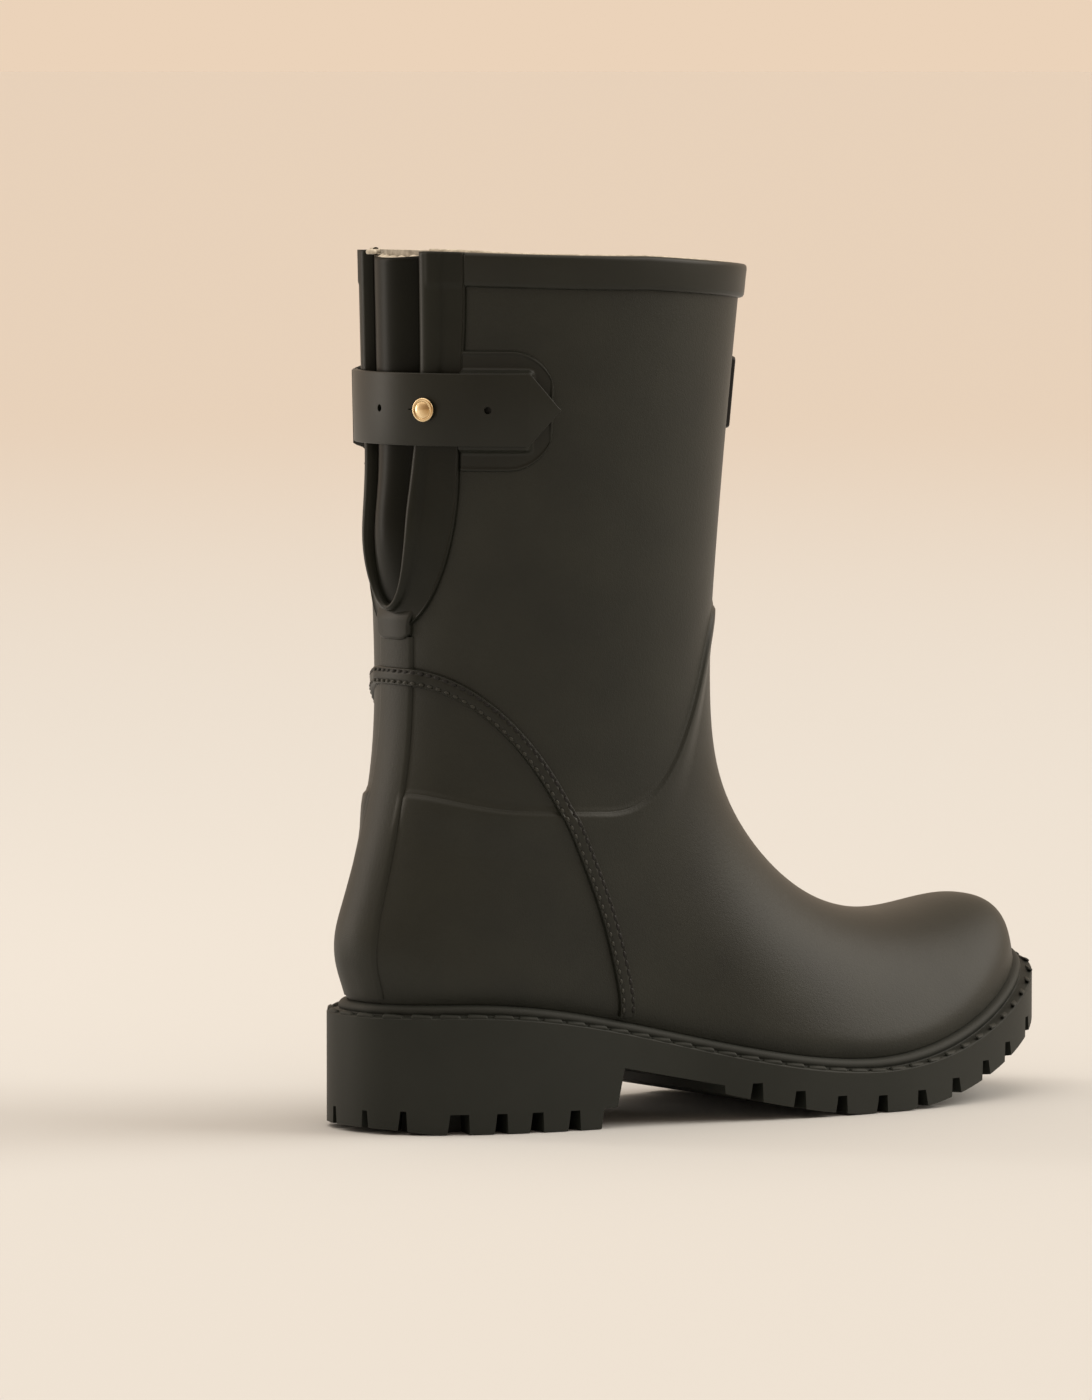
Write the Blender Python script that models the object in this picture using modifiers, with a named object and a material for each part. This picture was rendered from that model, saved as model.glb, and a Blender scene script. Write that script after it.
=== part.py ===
"""Mid-height rubber rain boot for the right foot, as an assembly of its separate pieces.

Frame: toe along +X, medial side +Y, lateral side -Y, up +Z, floor at z = 0.
Tables and constants are in millimetres and are turned into metres by MM as each mesh is made.
The upper is one smooth surface, skin(theta, t). theta turns round the boot, 0 at the toe and
180 degrees at the heel, negative on the lateral side; t runs from 0 at the rim to 1 at the sole.
"""

import math

import bmesh
import bpy
import numpy as np
from mathutils import Vector

MM = 0.001

# Driving dimensions
HEEL_SEAT_HEIGHT = 43.5
BALL_SEAT_HEIGHT = 18.4
TOE_SPRING = 31.0
SKIN_THICKNESS = 2.0
STIFFENER_THICKNESS = 1.0
LINING_THICKNESS = 1.4
GAP = 0.4
STRAP_WIDTH = 24.5
STRAP_THICKNESS = 2.0
STRAP_HEIGHT = 244.5
STUD_GIRTH = 22.0
HOLE_PITCH = 19.5
STUD_HEAD_RADIUS = 4.0
HEEL_BREAST = -63.0
WELT_OVERHANG = 6.8
WELT_THICKNESS = 3.4

# Stations of the upper, from the rim down: t, rear x, front x, widest x, half width, roundness,
# then the heights of its side, front and rear, the front's sharpness and how far it takes the
# sole's plan shape and seat line.
STATIONS = (
    (0.00, -124.0, 10.0, -56.0, 55.5, 2.10, 295.6, 291.3, 297.5, 1.0, 0.00),
    (0.18, -123.0, 4.0, -57.0, 54.0, 2.10, 244.3, 240.3, 245.3, 1.0, 0.00),
    (0.36, -122.0, -0.5, -59.0, 51.0, 2.10, 189.3, 186.3, 190.3, 1.0, 0.00),
    (0.50, -121.5, -1.0, -60.0, 48.0, 2.10, 146.3, 146.3, 146.3, 1.1, 0.00),
    (0.58, -124.0, 3.5, -60.0, 46.0, 2.10, 118.3, 116.3, 118.3, 1.3, 0.08),
    (0.66, -130.0, 18.5, -54.0, 45.0, 2.10, 86.5, 88.5, 88.5, 1.6, 0.22),
    (0.74, -136.0, 46.0, -42.0, 45.5, 2.15, 56.5, 64.5, 60.5, 1.9, 0.42),
    (0.82, -139.5, 84.0, -20.0, 47.0, 2.25, 31.0, 48.4, 37.0, 2.1, 0.68),
    (0.90, -139.0, 116.0, 8.0, 49.0, 2.40, 12.5, 34.6, 17.5, 2.1, 0.88),
    (0.96, -136.5, 131.5, 28.0, 49.5, 2.50, 4.5, 16.2, 6.0, 2.0, 0.97),
    (1.00, -135.2, 135.2, 36.0, 48.5, 2.50, 0.0, 0.0, 0.0, 2.0, 1.00),
)


# ---------------------------------------------------------------- curves and the upper's surface

def smooth(start, end, value):
    """0 before start, 1 after end, with a smooth ramp between."""
    ramp = np.clip((np.asarray(value, float) - start) / (end - start), 0.0, 1.0)
    return ramp * ramp * (3.0 - 2.0 * ramp)


def bump(centre, width, value):
    return np.exp(-(((np.asarray(value, float) - centre) / width) ** 2))


def natural_spline(knots, values):
    """A smooth curve through the rows of values, as a function of one parameter."""
    gaps = np.diff(knots)
    count = len(knots)
    system = np.eye(count)
    right = np.zeros_like(values)
    for row in range(1, count - 1):
        before, after = gaps[row - 1], gaps[row]
        system[row, row - 1 : row + 2] = before, 2.0 * (before + after), after
        rise_after = (values[row + 1] - values[row]) / after
        rise_before = (values[row] - values[row - 1]) / before
        right[row] = 6.0 * (rise_after - rise_before)
    bends = np.linalg.solve(system, right)

    def curve(t):
        t = np.clip(np.asarray(t, float), knots[0], knots[-1])
        cell = np.clip(np.searchsorted(knots, t, side="right") - 1, 0, count - 2)
        gap = gaps[cell][..., None]
        far = (t - knots[cell])[..., None] / gap
        near = 1.0 - far
        straight = near * values[cell] + far * values[cell + 1]
        curved = (near**3 - near) * bends[cell] + (far**3 - far) * bends[cell + 1]
        return straight + curved * gap * gap / 6.0

    return curve


TABLE = np.array(STATIONS)
station = natural_spline(TABLE[:, 0], TABLE[:, 1:])


def seat_height(x):
    """Height of the line where the upper meets the welt."""
    drop = (HEEL_SEAT_HEIGHT - BALL_SEAT_HEIGHT) * smooth(-115.0, 45.0, x)
    spring = TOE_SPRING * (np.clip(x - 42.0, 0.0, None) / 92.0) ** 2
    return HEEL_SEAT_HEIGHT - drop + spring


def sole_centre(x):
    """Sideways bend of the sole's middle line: lateral at the waist, medial at the toe."""
    return 9.0 * smooth(45.0, 145.0, x) - 5.0 * bump(-5.0, 45.0, x)


def sole_waist(x):
    return 1.0 - 0.17 * bump(-35.0, 48.0, x)


def signed_power(value, power):
    return np.sign(value) * np.abs(value) ** power


def skin(theta, t):
    """Point of the upper's outer surface, in millimetres."""
    theta, t = np.broadcast_arrays(np.asarray(theta, float), np.asarray(t, float))
    rear, front, middle, width, roundness, side_z, front_z, rear_z, sharp, foot = np.moveaxis(station(t), -1, 0)
    along = signed_power(np.cos(theta), 2.0 / roundness)
    across = signed_power(np.sin(theta), 2.0 / roundness)
    x = middle + np.where(along >= 0.0, front - middle, middle - rear) * along
    y = width * across * (1.0 - (1.0 - sole_waist(x)) * foot) + foot * sole_centre(x)
    ahead = np.maximum(np.cos(theta), 0.0) ** sharp
    behind = np.maximum(-np.cos(theta), 0.0) ** 1.5
    z = foot * seat_height(x) + side_z + (front_z - side_z) * ahead + (rear_z - side_z) * behind
    return np.stack([x, y, z], axis=-1)


def skin_normal(theta, t):
    """Outward unit normal of the upper's surface."""
    step = 0.002
    down = skin(theta, np.minimum(t + step, 1.0)) - skin(theta, np.maximum(t - step, 0.0))
    round_ = skin(theta + step, t) - skin(theta - step, t)
    normal = np.cross(down, round_)
    return normal / np.linalg.norm(normal, axis=-1, keepdims=True)


def offset_skin(theta, t, out):
    """The skin's point moved out along its normal by out millimetres."""
    theta, t, out = np.broadcast_arrays(theta, t, out)
    return skin(theta, t) + skin_normal(theta, t) * out[..., None]


def t_at_height(theta, z):
    """The t at which a meridian passes height z."""
    low = np.zeros(np.broadcast(theta, z).shape)
    high = np.ones(low.shape)
    for _ in range(26):
        middle = 0.5 * (low + high)
        above = skin(theta, middle)[..., 2] > z
        low = np.where(above, middle, low)
        high = np.where(above, high, middle)
    return 0.5 * (low + high)


ANGLES = np.linspace(-math.pi, math.pi, 721)
STRAP_RING = skin(ANGLES - math.pi, np.full(721, 0.18))
STEPS = np.linalg.norm(np.diff(STRAP_RING[:, :2], axis=0), axis=1)
GIRTH = np.concatenate([[0.0], np.cumsum(STEPS)])
GIRTH = GIRTH - np.interp(0.0, ANGLES, GIRTH)


def around(girth, z, out):
    """Point of the leg at a girth from the middle of its rear, positive on the lateral side."""
    girth, z, out = np.broadcast_arrays(np.asarray(girth, float), z, out)
    theta = np.interp(girth, GIRTH, ANGLES) - math.pi
    return offset_skin(theta, t_at_height(theta, z), out)


# ------------------------------------------------------------------------------- mesh building

def new_collection(name):
    collection = bpy.data.collections.new(name)
    bpy.context.scene.collection.children.link(collection)
    return collection


def clear_scene():
    for thing in list(bpy.data.objects):
        bpy.data.objects.remove(thing, do_unlink=True)


clear_scene()
PARTS = new_collection("rubber_rain_boot")
CUTTERS = new_collection("cutters")


def make_material(name, color, roughness, metallic=0.0):
    material = bpy.data.materials.new(name)
    material.use_nodes = True
    shader = material.node_tree.nodes["Principled BSDF"]
    shader.inputs["Base Color"].default_value = (*color, 1.0)
    shader.inputs["Roughness"].default_value = roughness
    shader.inputs["Metallic"].default_value = metallic
    return material


RUBBER = ((0.040, 0.037, 0.026), 0.55)
SOLE_RUBBER = ((0.030, 0.032, 0.024), 0.65)
KNIT = ((0.42, 0.40, 0.36), 0.95)
BOARD = ((0.30, 0.24, 0.16), 0.90)
FOAM = ((0.10, 0.10, 0.09), 0.90)
STEEL = ((0.55, 0.56, 0.57), 0.35, 1.0)
BRASS = ((0.78, 0.60, 0.33), 0.28, 1.0)
BLACK = ((0.010, 0.010, 0.010), 0.45)


def mesh_object(name, points, faces, look):
    """A mesh object from points in millimetres, in the parts' collection."""
    mesh = bpy.data.meshes.new(name)
    mesh.from_pydata([tuple(point) for point in np.asarray(points) * MM], [], faces)
    mesh.materials.append(make_material(name, *look))
    thing = bpy.data.objects.new(name, mesh)
    PARTS.objects.link(thing)
    return thing


def smooth_shading(thing):
    thing.data.shade_smooth()
    thing.data.set_sharp_from_angle(angle=math.radians(40.0))


def grid_faces(rows, columns, closed):
    """Quads of a rows x columns grid whose normals point out of the boot."""
    faces = []
    for row in range(rows - 1):
        for column in range(columns if closed else columns - 1):
            after = (column + 1) % columns
            a, b = row * columns + column, row * columns + after
            faces.append((a, a + columns, b + columns, b))
    return faces


def sheet(name, grid, thickness, look, closed=False, side=-1.0):
    """A grid of points thickened by Solidify, inwards from the grid or, with side = 1, outwards."""
    rows, columns = grid.shape[:2]
    thing = mesh_object(name, grid.reshape(-1, 3), grid_faces(rows, columns, closed), look)
    solidify = thing.modifiers.new("thickness", "SOLIDIFY")
    solidify.thickness = thickness * MM
    solidify.offset = side
    solidify.use_even_offset = False
    smooth_shading(thing)
    return thing


def make_cutter(thing):
    PARTS.objects.unlink(thing)
    CUTTERS.objects.link(thing)
    thing.hide_render = True
    thing.display_type = "WIRE"
    return thing


def cut(thing, cutter, name):
    boolean = thing.modifiers.new(name, "BOOLEAN")
    boolean.operation = "DIFFERENCE"
    boolean.object = cutter


# ------------------------------------------------------------------------------ upper and lining

COLUMNS = 40
ROUND = np.linspace(-math.pi, math.pi, COLUMNS, endpoint=False)
LINING_OUT = -(SKIN_THICKNESS + STIFFENER_THICKNESS + 2.0 * GAP)
SOCK_TOP = 4.8
SEAM_GAP_T = 0.0012
LEG_ROWS = np.linspace(0.0, 1.0, 10)
FOOT_ROWS = np.linspace(0.0, 1.0, 12)


def seam_t(theta):
    """The arched seam between leg and foot: low round the heel and side, high on the shin."""
    turn = np.degrees(math.pi - np.abs((theta + math.pi) % (2.0 * math.pi) - math.pi))
    return 0.612 - 0.20 * smooth(92.0, 145.0, turn)


def between(top, bottom, shares):
    """Rows of t from one t curve to another."""
    return top + (bottom - top) * shares[:, None]


def t_above_seat(theta, rise):
    """The t at which a meridian is rise millimetres above the seat line."""
    low = np.full(np.shape(theta), 0.80)
    high = np.ones(np.shape(theta))
    for _ in range(26):
        middle = 0.5 * (low + high)
        above = skin(theta, middle)[..., 2] > skin(theta, 1.0)[..., 2] + rise
        low = np.where(above, middle, low)
        high = np.where(above, high, middle)
    return 0.5 * (low + high)


def slot_half(z):
    """Half width, in girth, of the gusset's opening at height z."""
    leg = 11.5 + 4.3 * smooth(205.0, 262.0, z)
    depth = np.clip((205.0 - z) / 27.0, 0.0, 1.0)
    return leg * np.sqrt(1.0 - depth**2)


def slot_cutter():
    """A wedge-shaped block that opens the leg and its lining at the rear."""
    z = np.array([177.2, 178.3, 180.0, 184.0, 190.0, 198.0, 213.0, 240.0, 270.0, 304.0])
    half = slot_half(z) + 3.0
    girth = half[:, None] * np.linspace(-1.0, 1.0, 9)[None, :]
    t_top = np.broadcast_to(z[:, None], girth.shape)
    theta = np.interp(girth, GIRTH, ANGLES) - math.pi
    inner = skin(theta, t_at_height(theta, np.minimum(t_top, 288.0)))
    inner[..., 2] = t_top
    grid = inner + np.array([14.0, 0.0, 0.0])
    rows, columns = grid.shape[:2]
    thing = mesh_object("slot_cutter", grid.reshape(-1, 3), grid_faces(rows, columns, False), RUBBER)
    thing.data.flip_normals()
    back = np.array([-14.0 - 10.0, 0.0, 0.0]) * MM
    solid = bmesh.new()
    solid.from_mesh(thing.data)
    pushed = bmesh.ops.extrude_face_region(solid, geom=solid.faces[:])
    moved = [item for item in pushed["geom"] if isinstance(item, bmesh.types.BMVert)]
    bmesh.ops.translate(solid, verts=moved, vec=back)
    bmesh.ops.recalc_face_normals(solid, faces=solid.faces[:])
    solid.to_mesh(thing.data)
    solid.free()
    return make_cutter(thing)


SLOT = slot_cutter()


def leg_skin():
    t = between(np.zeros(COLUMNS), seam_t(ROUND) - SEAM_GAP_T, LEG_ROWS)
    thing = sheet("leg_skin", offset_skin(ROUND, t, 0.0), SKIN_THICKNESS, RUBBER, closed=True)
    cut(thing, SLOT, "gusset opening")


def foot_rows():
    """The foot's rows of t, shared by skin, stiffeners and lining so that their facets are parallel."""
    return between(seam_t(ROUND) + SEAM_GAP_T, t_above_seat(ROUND, 0.7), FOOT_ROWS)


def lining():
    """The knit sock inside, from the rim to just above the footbed."""
    leg = between(np.zeros(COLUMNS), seam_t(ROUND) + SEAM_GAP_T, LEG_ROWS)[:-1]
    foot = np.minimum(foot_rows(), t_above_seat(ROUND, SOCK_TOP))
    t = np.vstack([leg, foot[:-1]])
    thing = sheet("lining", offset_skin(ROUND, t, LINING_OUT), LINING_THICKNESS, KNIT, closed=True)
    cut(thing, SLOT, "gusset opening")


def stiffener(name, columns, rows):
    """A moulded piece between skin and lining, over the heel or the toe."""
    t = np.minimum(foot_rows(), t_above_seat(ROUND, SOCK_TOP))[rows][:, columns]
    grid = offset_skin(ROUND[columns], t, -SKIN_THICKNESS - GAP)
    sheet(name, grid, STIFFENER_THICKNESS, BOARD)


leg_skin()
sheet("foot_skin", offset_skin(ROUND, foot_rows(), 0.0), SKIN_THICKNESS, RUBBER, closed=True)
lining()
HALF_TURN = COLUMNS // 2
stiffener("heel_counter", np.arange(-7, 8), slice(1, 11))
stiffener("toe_puff", np.arange(HALF_TURN - 7, HALF_TURN + 8), slice(8, 11))


# ------------------------------------------------------------------------------ gusset and trim

GUSSET_EDGE_OUT = -0.5
GUSSET_VALLEY_OUT = -4.4
GUSSET_CREST_OUT = 2.0
GUSSET_VALLEY_SHARE = 0.84
GUSSET_THICKNESS = 1.2
GUSSET_BOTTOM = 180.0


def gusset_out(share, z):
    """Outward position of the gusset across its width: a full roll between two valleys."""
    fold = smooth(GUSSET_BOTTOM, 215.0, z)
    share = np.abs(share)
    valley = (GUSSET_VALLEY_OUT - GUSSET_EDGE_OUT) * smooth(1.0, GUSSET_VALLEY_SHARE, share)
    inside = np.clip(1.0 - (share / GUSSET_VALLEY_SHARE) ** 2, 0.0, 1.0) ** 0.8
    return GUSSET_EDGE_OUT + fold * (valley + (GUSSET_CREST_OUT - GUSSET_VALLEY_OUT) * inside)


def grid_normals(grid):
    """Unit normals of a grid of points, out of the boot."""
    down = np.gradient(grid, axis=0)
    across = np.gradient(grid, axis=1)
    normal = np.cross(down, across)
    return normal / np.linalg.norm(normal, axis=-1, keepdims=True)


RIM_LEVEL_REAR = 290.5
GUSSET_LEVELS = (180.5, 186.0, 193.0, 203.0, 216.0, 234.0, 254.0, 272.0, RIM_LEVEL_REAR)
GUSSET_SHARES = (0.0, 0.16, 0.32, 0.48, 0.62, 0.74, 0.84, 0.92, 1.0)


def gusset_grid():
    z = np.array(GUSSET_LEVELS)[::-1, None]
    share = np.array([-value for value in GUSSET_SHARES[:0:-1]] + list(GUSSET_SHARES))[None, :]
    return around((slot_half(z) + 0.6) * share, z, gusset_out(share, z))


def gusset():
    """The folded rubber gusset and the knit that backs it."""
    grid = gusset_grid()
    sheet("gusset_bellows", grid, GUSSET_THICKNESS, RUBBER)
    backing = grid - grid_normals(grid) * (GUSSET_THICKNESS + GAP)
    sheet("gusset_lining", backing, 1.0, KNIT)


gusset()

BINDING_THICKNESS = 1.2
BINDING_TOP = 291.5


BINDING_KNEE = 223.0
BINDING_FOOT = 168.6
BINDING_SPREAD = 30.5


def binding_edges():
    """(girth, z) of the binding's inner and outer edges, from the rim down one side and up the other."""
    turn = np.radians(np.array([0.0, 15.0, 30.0, 45.0, 60.0, 75.0, 90.0]))
    level = np.linspace(BINDING_TOP, BINDING_KNEE, 6)[:-1]
    outer_z = np.concatenate([level, BINDING_KNEE - (BINDING_KNEE - BINDING_FOOT) * np.sin(turn)])
    outer = np.concatenate([np.full(5, BINDING_SPREAD), BINDING_SPREAD * np.maximum(np.cos(turn), 0.0) ** 0.9])
    inner_z = np.concatenate([level, BINDING_KNEE - (BINDING_KNEE - 177.8) * np.sin(turn)])
    inner = slot_half(inner_z)
    edges = []
    for girth, z in ((inner, inner_z), (outer, outer_z)):
        edges.append((np.concatenate([-girth, girth[-2::-1]]), np.concatenate([z, z[-2::-1]])))
    return edges


def gusset_binding():
    (inner_girth, inner_z), (outer_girth, outer_z) = binding_edges()
    share = np.linspace(0.0, 1.0, 4)[:, None]
    girth = inner_girth + (outer_girth - inner_girth) * share
    z = inner_z + (outer_z - inner_z) * share
    return sheet("gusset_binding", around(girth, z, GAP), BINDING_THICKNESS, RUBBER, side=1.0)


gusset_binding()


def plate(name, girths, half_heights, middle_z, out, thickness, look, rows=5):
    """A strip wrapped on the leg: its half height and outward position vary along the girth."""
    girths = np.asarray(girths, float)
    height = np.linspace(1.0, -1.0, rows)[:, None] * np.asarray(half_heights)[None, :]
    out = np.broadcast_to(out, height.shape)
    points = around(np.broadcast_to(girths, height.shape), middle_z + height, out)
    return sheet(name, points, thickness, look, side=1.0)


BACKSTAY_HALF = 9.6
BACKSTAY_THICKNESS = 1.0


def gusset_tab():
    girth = np.linspace(-BACKSTAY_HALF, BACKSTAY_HALF, 9)
    corner = np.clip((np.abs(girth) - 6.0) / 4.0, 0.0, 1.0)
    top = np.full(9, 176.5) - 2.0 * corner
    bottom = 166.0 + 2.5 * corner**2
    share = np.linspace(0.0, 1.0, 4)[:, None]
    z = top + (bottom - top) * share
    out = 2.0 * GAP + BINDING_THICKNESS
    return sheet("gusset_tab", around(np.broadcast_to(girth, z.shape), z, out), 1.2, RUBBER, side=1.0)


gusset_tab()


def backstay():
    """The moulded strip down the rear seam, from the gusset to the sole."""
    z = np.array([167.6, 160.0, 150.0, 139.0, 127.0, 115.0, 103.0, 91.0, 80.0, 71.0, 64.0, 58.0, 52.0, 46.5])[:, None]
    half = BACKSTAY_HALF + 2.4 * smooth(160.0, 75.0, z) - 3.0 * smooth(66.0, 45.0, z)
    girth = np.linspace(-1.0, 1.0, 7)[None, :] * half
    theta = np.interp(girth, GIRTH, ANGLES) - math.pi
    t = t_at_height(theta, np.broadcast_to(z, girth.shape))
    sheet("backstay", offset_skin(theta, t, GAP), BACKSTAY_THICKNESS, RUBBER, side=1.0)


backstay()

TRIM_HALF_WIDTH = 3.2
TRIM_REACH = 67.0
TRIM_FOOT_Z = 37.0
TRIM_REAR_Z = 153.5
TRIM_POWER = 2.0 / 1.4


def theta_at(x, z, side):
    """The angle on one side (1 medial, -1 lateral) where the skin at height z has this x."""
    angles = np.linspace(0.45, 1.0, 221) * math.pi
    found = np.empty(len(x))
    for index, (wanted_x, wanted_z) in enumerate(zip(x, z)):
        across = skin(angles, t_at_height(angles, wanted_z))[:, 0]
        found[index] = np.interp(-wanted_x, -across, angles)
    return side * found


def trim_line(shift):
    """(x, z) down one side of the counter trim, shifted outwards from its middle line."""
    turn = np.radians(np.linspace(3.0, 88.0, 17))
    reach = TRIM_REACH + shift
    rise = TRIM_REAR_Z - TRIM_FOOT_Z + shift
    x = -121.0 + reach * np.sin(turn) ** TRIM_POWER
    z = TRIM_FOOT_Z + rise * np.cos(turn) ** TRIM_POWER
    return x, np.maximum(z, seat_height(x) + 1.2)


def trim_row(shift, out):
    """One line of the trim, from the lateral seat over the rear to the medial seat."""
    x, z = trim_line(shift)
    lateral = theta_at(x, z, -1.0)
    t = t_at_height(lateral, z)
    rear_t = t_at_height(np.array([math.pi]), TRIM_REAR_Z + shift)
    angles = np.concatenate([lateral[::-1], [-math.pi], -lateral - 2.0 * math.pi])
    ts = np.concatenate([t[::-1], rear_t, t])
    turn = math.pi - np.abs((angles + math.pi) % (2.0 * math.pi) - math.pi)
    over_backstay = (BACKSTAY_THICKNESS + GAP) * smooth(math.radians(27.0), math.radians(15.0), turn)
    return offset_skin(angles, ts, out + over_backstay)


def counter_trim():
    """The raised trim over the heel counter, a rounded strip that runs from seat to seat."""
    shares = (1.0, 0.4, -0.4, -1.0)
    rows = [trim_row(TRIM_HALF_WIDTH * share, 1.2 + GAP + 0.35 * (1.0 - share**2)) for share in shares]
    return sheet("counter_trim", np.array(rows), 1.2, RUBBER)


counter_trim()

BAND_HEIGHT = 10.5
BAND_THICKNESS = 1.5
BAND_END = 19.5


def rim_band():
    """The band round the rim, from one side of the gusset round the shin to the other."""
    full = GIRTH[-1]
    girth = np.concatenate([[BAND_END, 25.0, 30.6, 32.4], np.linspace(38.0, full, 17)])
    girth = np.concatenate([girth, -girth[-2::-1]])
    theta = np.interp(girth, GIRTH, ANGLES) - math.pi
    top = skin(theta, 0.0)[:, 2] - 0.6
    out = np.where(np.abs(girth) < 31.5, 2.0 * GAP + BINDING_THICKNESS + 0.1, GAP)
    share = np.array([0.0, 0.5, 1.0])[:, None]
    z = top - BAND_HEIGHT * share
    return sheet("rim_band", around(np.broadcast_to(girth, z.shape), z, out), BAND_THICKNESS, RUBBER, side=1.0)


rim_band()

LABEL_HALF_WIDTH = 24.5
LABEL_HALF_HEIGHT = 12.5


def front_label():
    """A blank rubber badge on the shin."""
    girth = GIRTH[-1] + np.linspace(-LABEL_HALF_WIDTH, LABEL_HALF_WIDTH, 9)
    girth = np.where(girth > GIRTH[-1], girth - 2.0 * GIRTH[-1], girth)
    z = 248.0 + np.linspace(1.0, -1.0, 3)[:, None] * LABEL_HALF_HEIGHT
    points = around(np.broadcast_to(girth, (3, 9)), z, GAP)
    return sheet("front_label", points, 1.5, BLACK, side=1.0)


front_label()


# ---------------------------------------------------------------------------- strap and its stud

PATCH_REAR = 31.4
PATCH_FRONT = 62.5
PATCH_HALF_HEIGHT = 20.5
PATCH_CORNER = 14.0
PATCH_THICKNESS = 1.1
BLISTER_FRONT = 54.0
BLISTER_HALF_HEIGHT = 14.2
UNDER_LAYER_OUT = 2.0 * GAP + BINDING_THICKNESS
TAB_THICKNESS = 1.3
TAB_LIFT = 0.9


def patch(name, side, blister_height):
    """A D-shaped rubber patch whose raised pocket holds the end of the strap or of the stud tab."""
    girth = np.array([PATCH_REAR, 38.0, 45.0, BLISTER_FRONT - 1.5, BLISTER_FRONT + 1.0, 57.5, 60.5, 62.2, PATCH_FRONT])
    past = np.clip((girth - (PATCH_FRONT - PATCH_CORNER)) / PATCH_CORNER, 0.0, 0.995)
    half = PATCH_HALF_HEIGHT - PATCH_CORNER + PATCH_CORNER * np.sqrt(1.0 - past**2)
    inner = np.minimum(BLISTER_HALF_HEIGHT, half * 0.93)
    rows = [half, inner + 1.6, inner, inner * 0.4, -inner * 0.4, -inner, -inner - 1.6, -half]
    height = np.array([np.clip(row, -half, half) for row in rows])
    in_front = smooth(BLISTER_FRONT + 0.8, BLISTER_FRONT - 1.3, girth)[None, :]
    raised = np.array([0.0, 0.0, 1.0, 1.0, 1.0, 1.0, 0.0, 0.0])[:, None] * in_front
    out = GAP + (blister_height - GAP) * raised
    points = around(np.broadcast_to(girth, height.shape) * side, STRAP_HEIGHT + height, out)
    if side < 0.0:
        points = points[:, ::-1]
    return sheet(name, points, PATCH_THICKNESS, RUBBER, side=1.0)


patch("lateral_patch", 1.0, UNDER_LAYER_OUT + TAB_THICKNESS + GAP)
patch("medial_patch", -1.0, UNDER_LAYER_OUT + STRAP_THICKNESS + GAP)


def axis_cutter(name, radius, girth, reach, stretch=1.0, shift=0.0):
    """A round or oval cutter through the strap or its tab, square to the leg."""
    centre = around(girth + shift, STRAP_HEIGHT, 0.0)
    normal = around(girth, STRAP_HEIGHT, 1.0) - around(girth, STRAP_HEIGHT, 0.0)
    bpy.ops.mesh.primitive_cylinder_add(vertices=24, radius=radius * MM, depth=reach * MM)
    thing = bpy.context.active_object
    thing.name = name
    thing.data.materials.append(make_material(name, *RUBBER))
    thing.scale = (1.0, stretch, 1.0)
    thing.rotation_euler = (0.0, math.pi / 2.0, math.atan2(normal[1], normal[0]))
    thing.location = (centre + normal * 4.0) * MM
    for collection in list(thing.users_collection):
        collection.objects.unlink(thing)
    PARTS.objects.link(thing)
    return make_cutter(thing)


def stud_tab():
    """The short rubber tab that comes out of the lateral patch and carries the stud."""
    girth = np.array([13.0, 14.5, 17.0, 21.0, 26.0, 31.0, 36.0, 42.0, 48.0, 51.5])
    half = np.minimum(11.0, 6.0 + 2.9 * np.sqrt(np.clip(girth - 13.0, 0.0, None)))
    out = UNDER_LAYER_OUT + TAB_LIFT * smooth(31.0, 24.0, girth)
    thing = plate("stud_tab", girth, half, STRAP_HEIGHT, out, TAB_THICKNESS, RUBBER, rows=3)
    cut(thing, axis_cutter("screw_hole", 1.5, STUD_GIRTH, 14.0), "screw hole")
    return thing


stud_tab()

HINGES = (-29.8, -6.0, 30.0)
SEGMENT_GAP = 0.5
STRAP_TIP = 65.5
SHOULDER = 54.0


def strap_out(girth):
    """The strap's inner face: low over the medial binding, higher over the stud tab and patch."""
    return UNDER_LAYER_OUT + 0.1 + 2.9 * smooth(-30.0, 27.0, girth)


def strap_half_height(girth):
    """Half the strap's width, which falls to the rounded point at its end."""
    half = np.full(np.shape(girth), STRAP_WIDTH / 2.0)
    past = np.clip((girth - SHOULDER) / (STRAP_TIP - SHOULDER), 0.0, 1.0)
    return half * (1.0 - 0.86 * past)


def hinge_point(girth):
    """A point on the vertical axis, at the strap's outer face, about which a length of it turns."""
    return around(girth, STRAP_HEIGHT, strap_out(girth) + STRAP_THICKNESS)


def move_origin(thing, point):
    """Puts the object's origin on point, in millimetres, and leaves its shape where it is."""
    for vertex in thing.data.vertices:
        vertex.co -= Vector(point) * MM
    thing.location = Vector(point) * MM


def strap_segment(name, start, end, columns):
    """A length of the strap from one hinge to the next or to its tip."""
    girth = np.linspace(start + SEGMENT_GAP / 2.0, min(end, STRAP_TIP) - SEGMENT_GAP / 2.0, columns)
    if end > SHOULDER:
        girth = np.sort(np.append(girth, SHOULDER))
    half = strap_half_height(girth)
    thing = plate(name, girth, half, STRAP_HEIGHT, strap_out(girth), STRAP_THICKNESS, RUBBER, rows=2)
    move_origin(thing, hinge_point(start))
    return thing


def root_strip():
    """The strap's fixed end, under the medial patch."""
    girth = np.linspace(-51.0, HINGES[0] - SEGMENT_GAP / 2.0, 6)
    half = np.full(6, STRAP_WIDTH / 2.0)
    return plate("strap_root", girth, half, STRAP_HEIGHT, UNDER_LAYER_OUT, STRAP_THICKNESS - 0.1, RUBBER, rows=2)


root_strip()
STRAP_REAR = strap_segment("strap_rear", HINGES[0], HINGES[1], 7)
STRAP_MIDDLE = strap_segment("strap_middle", HINGES[1], HINGES[2], 9)
STRAP_END = strap_segment("strap_end", HINGES[2], STRAP_TIP, 9)

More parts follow.
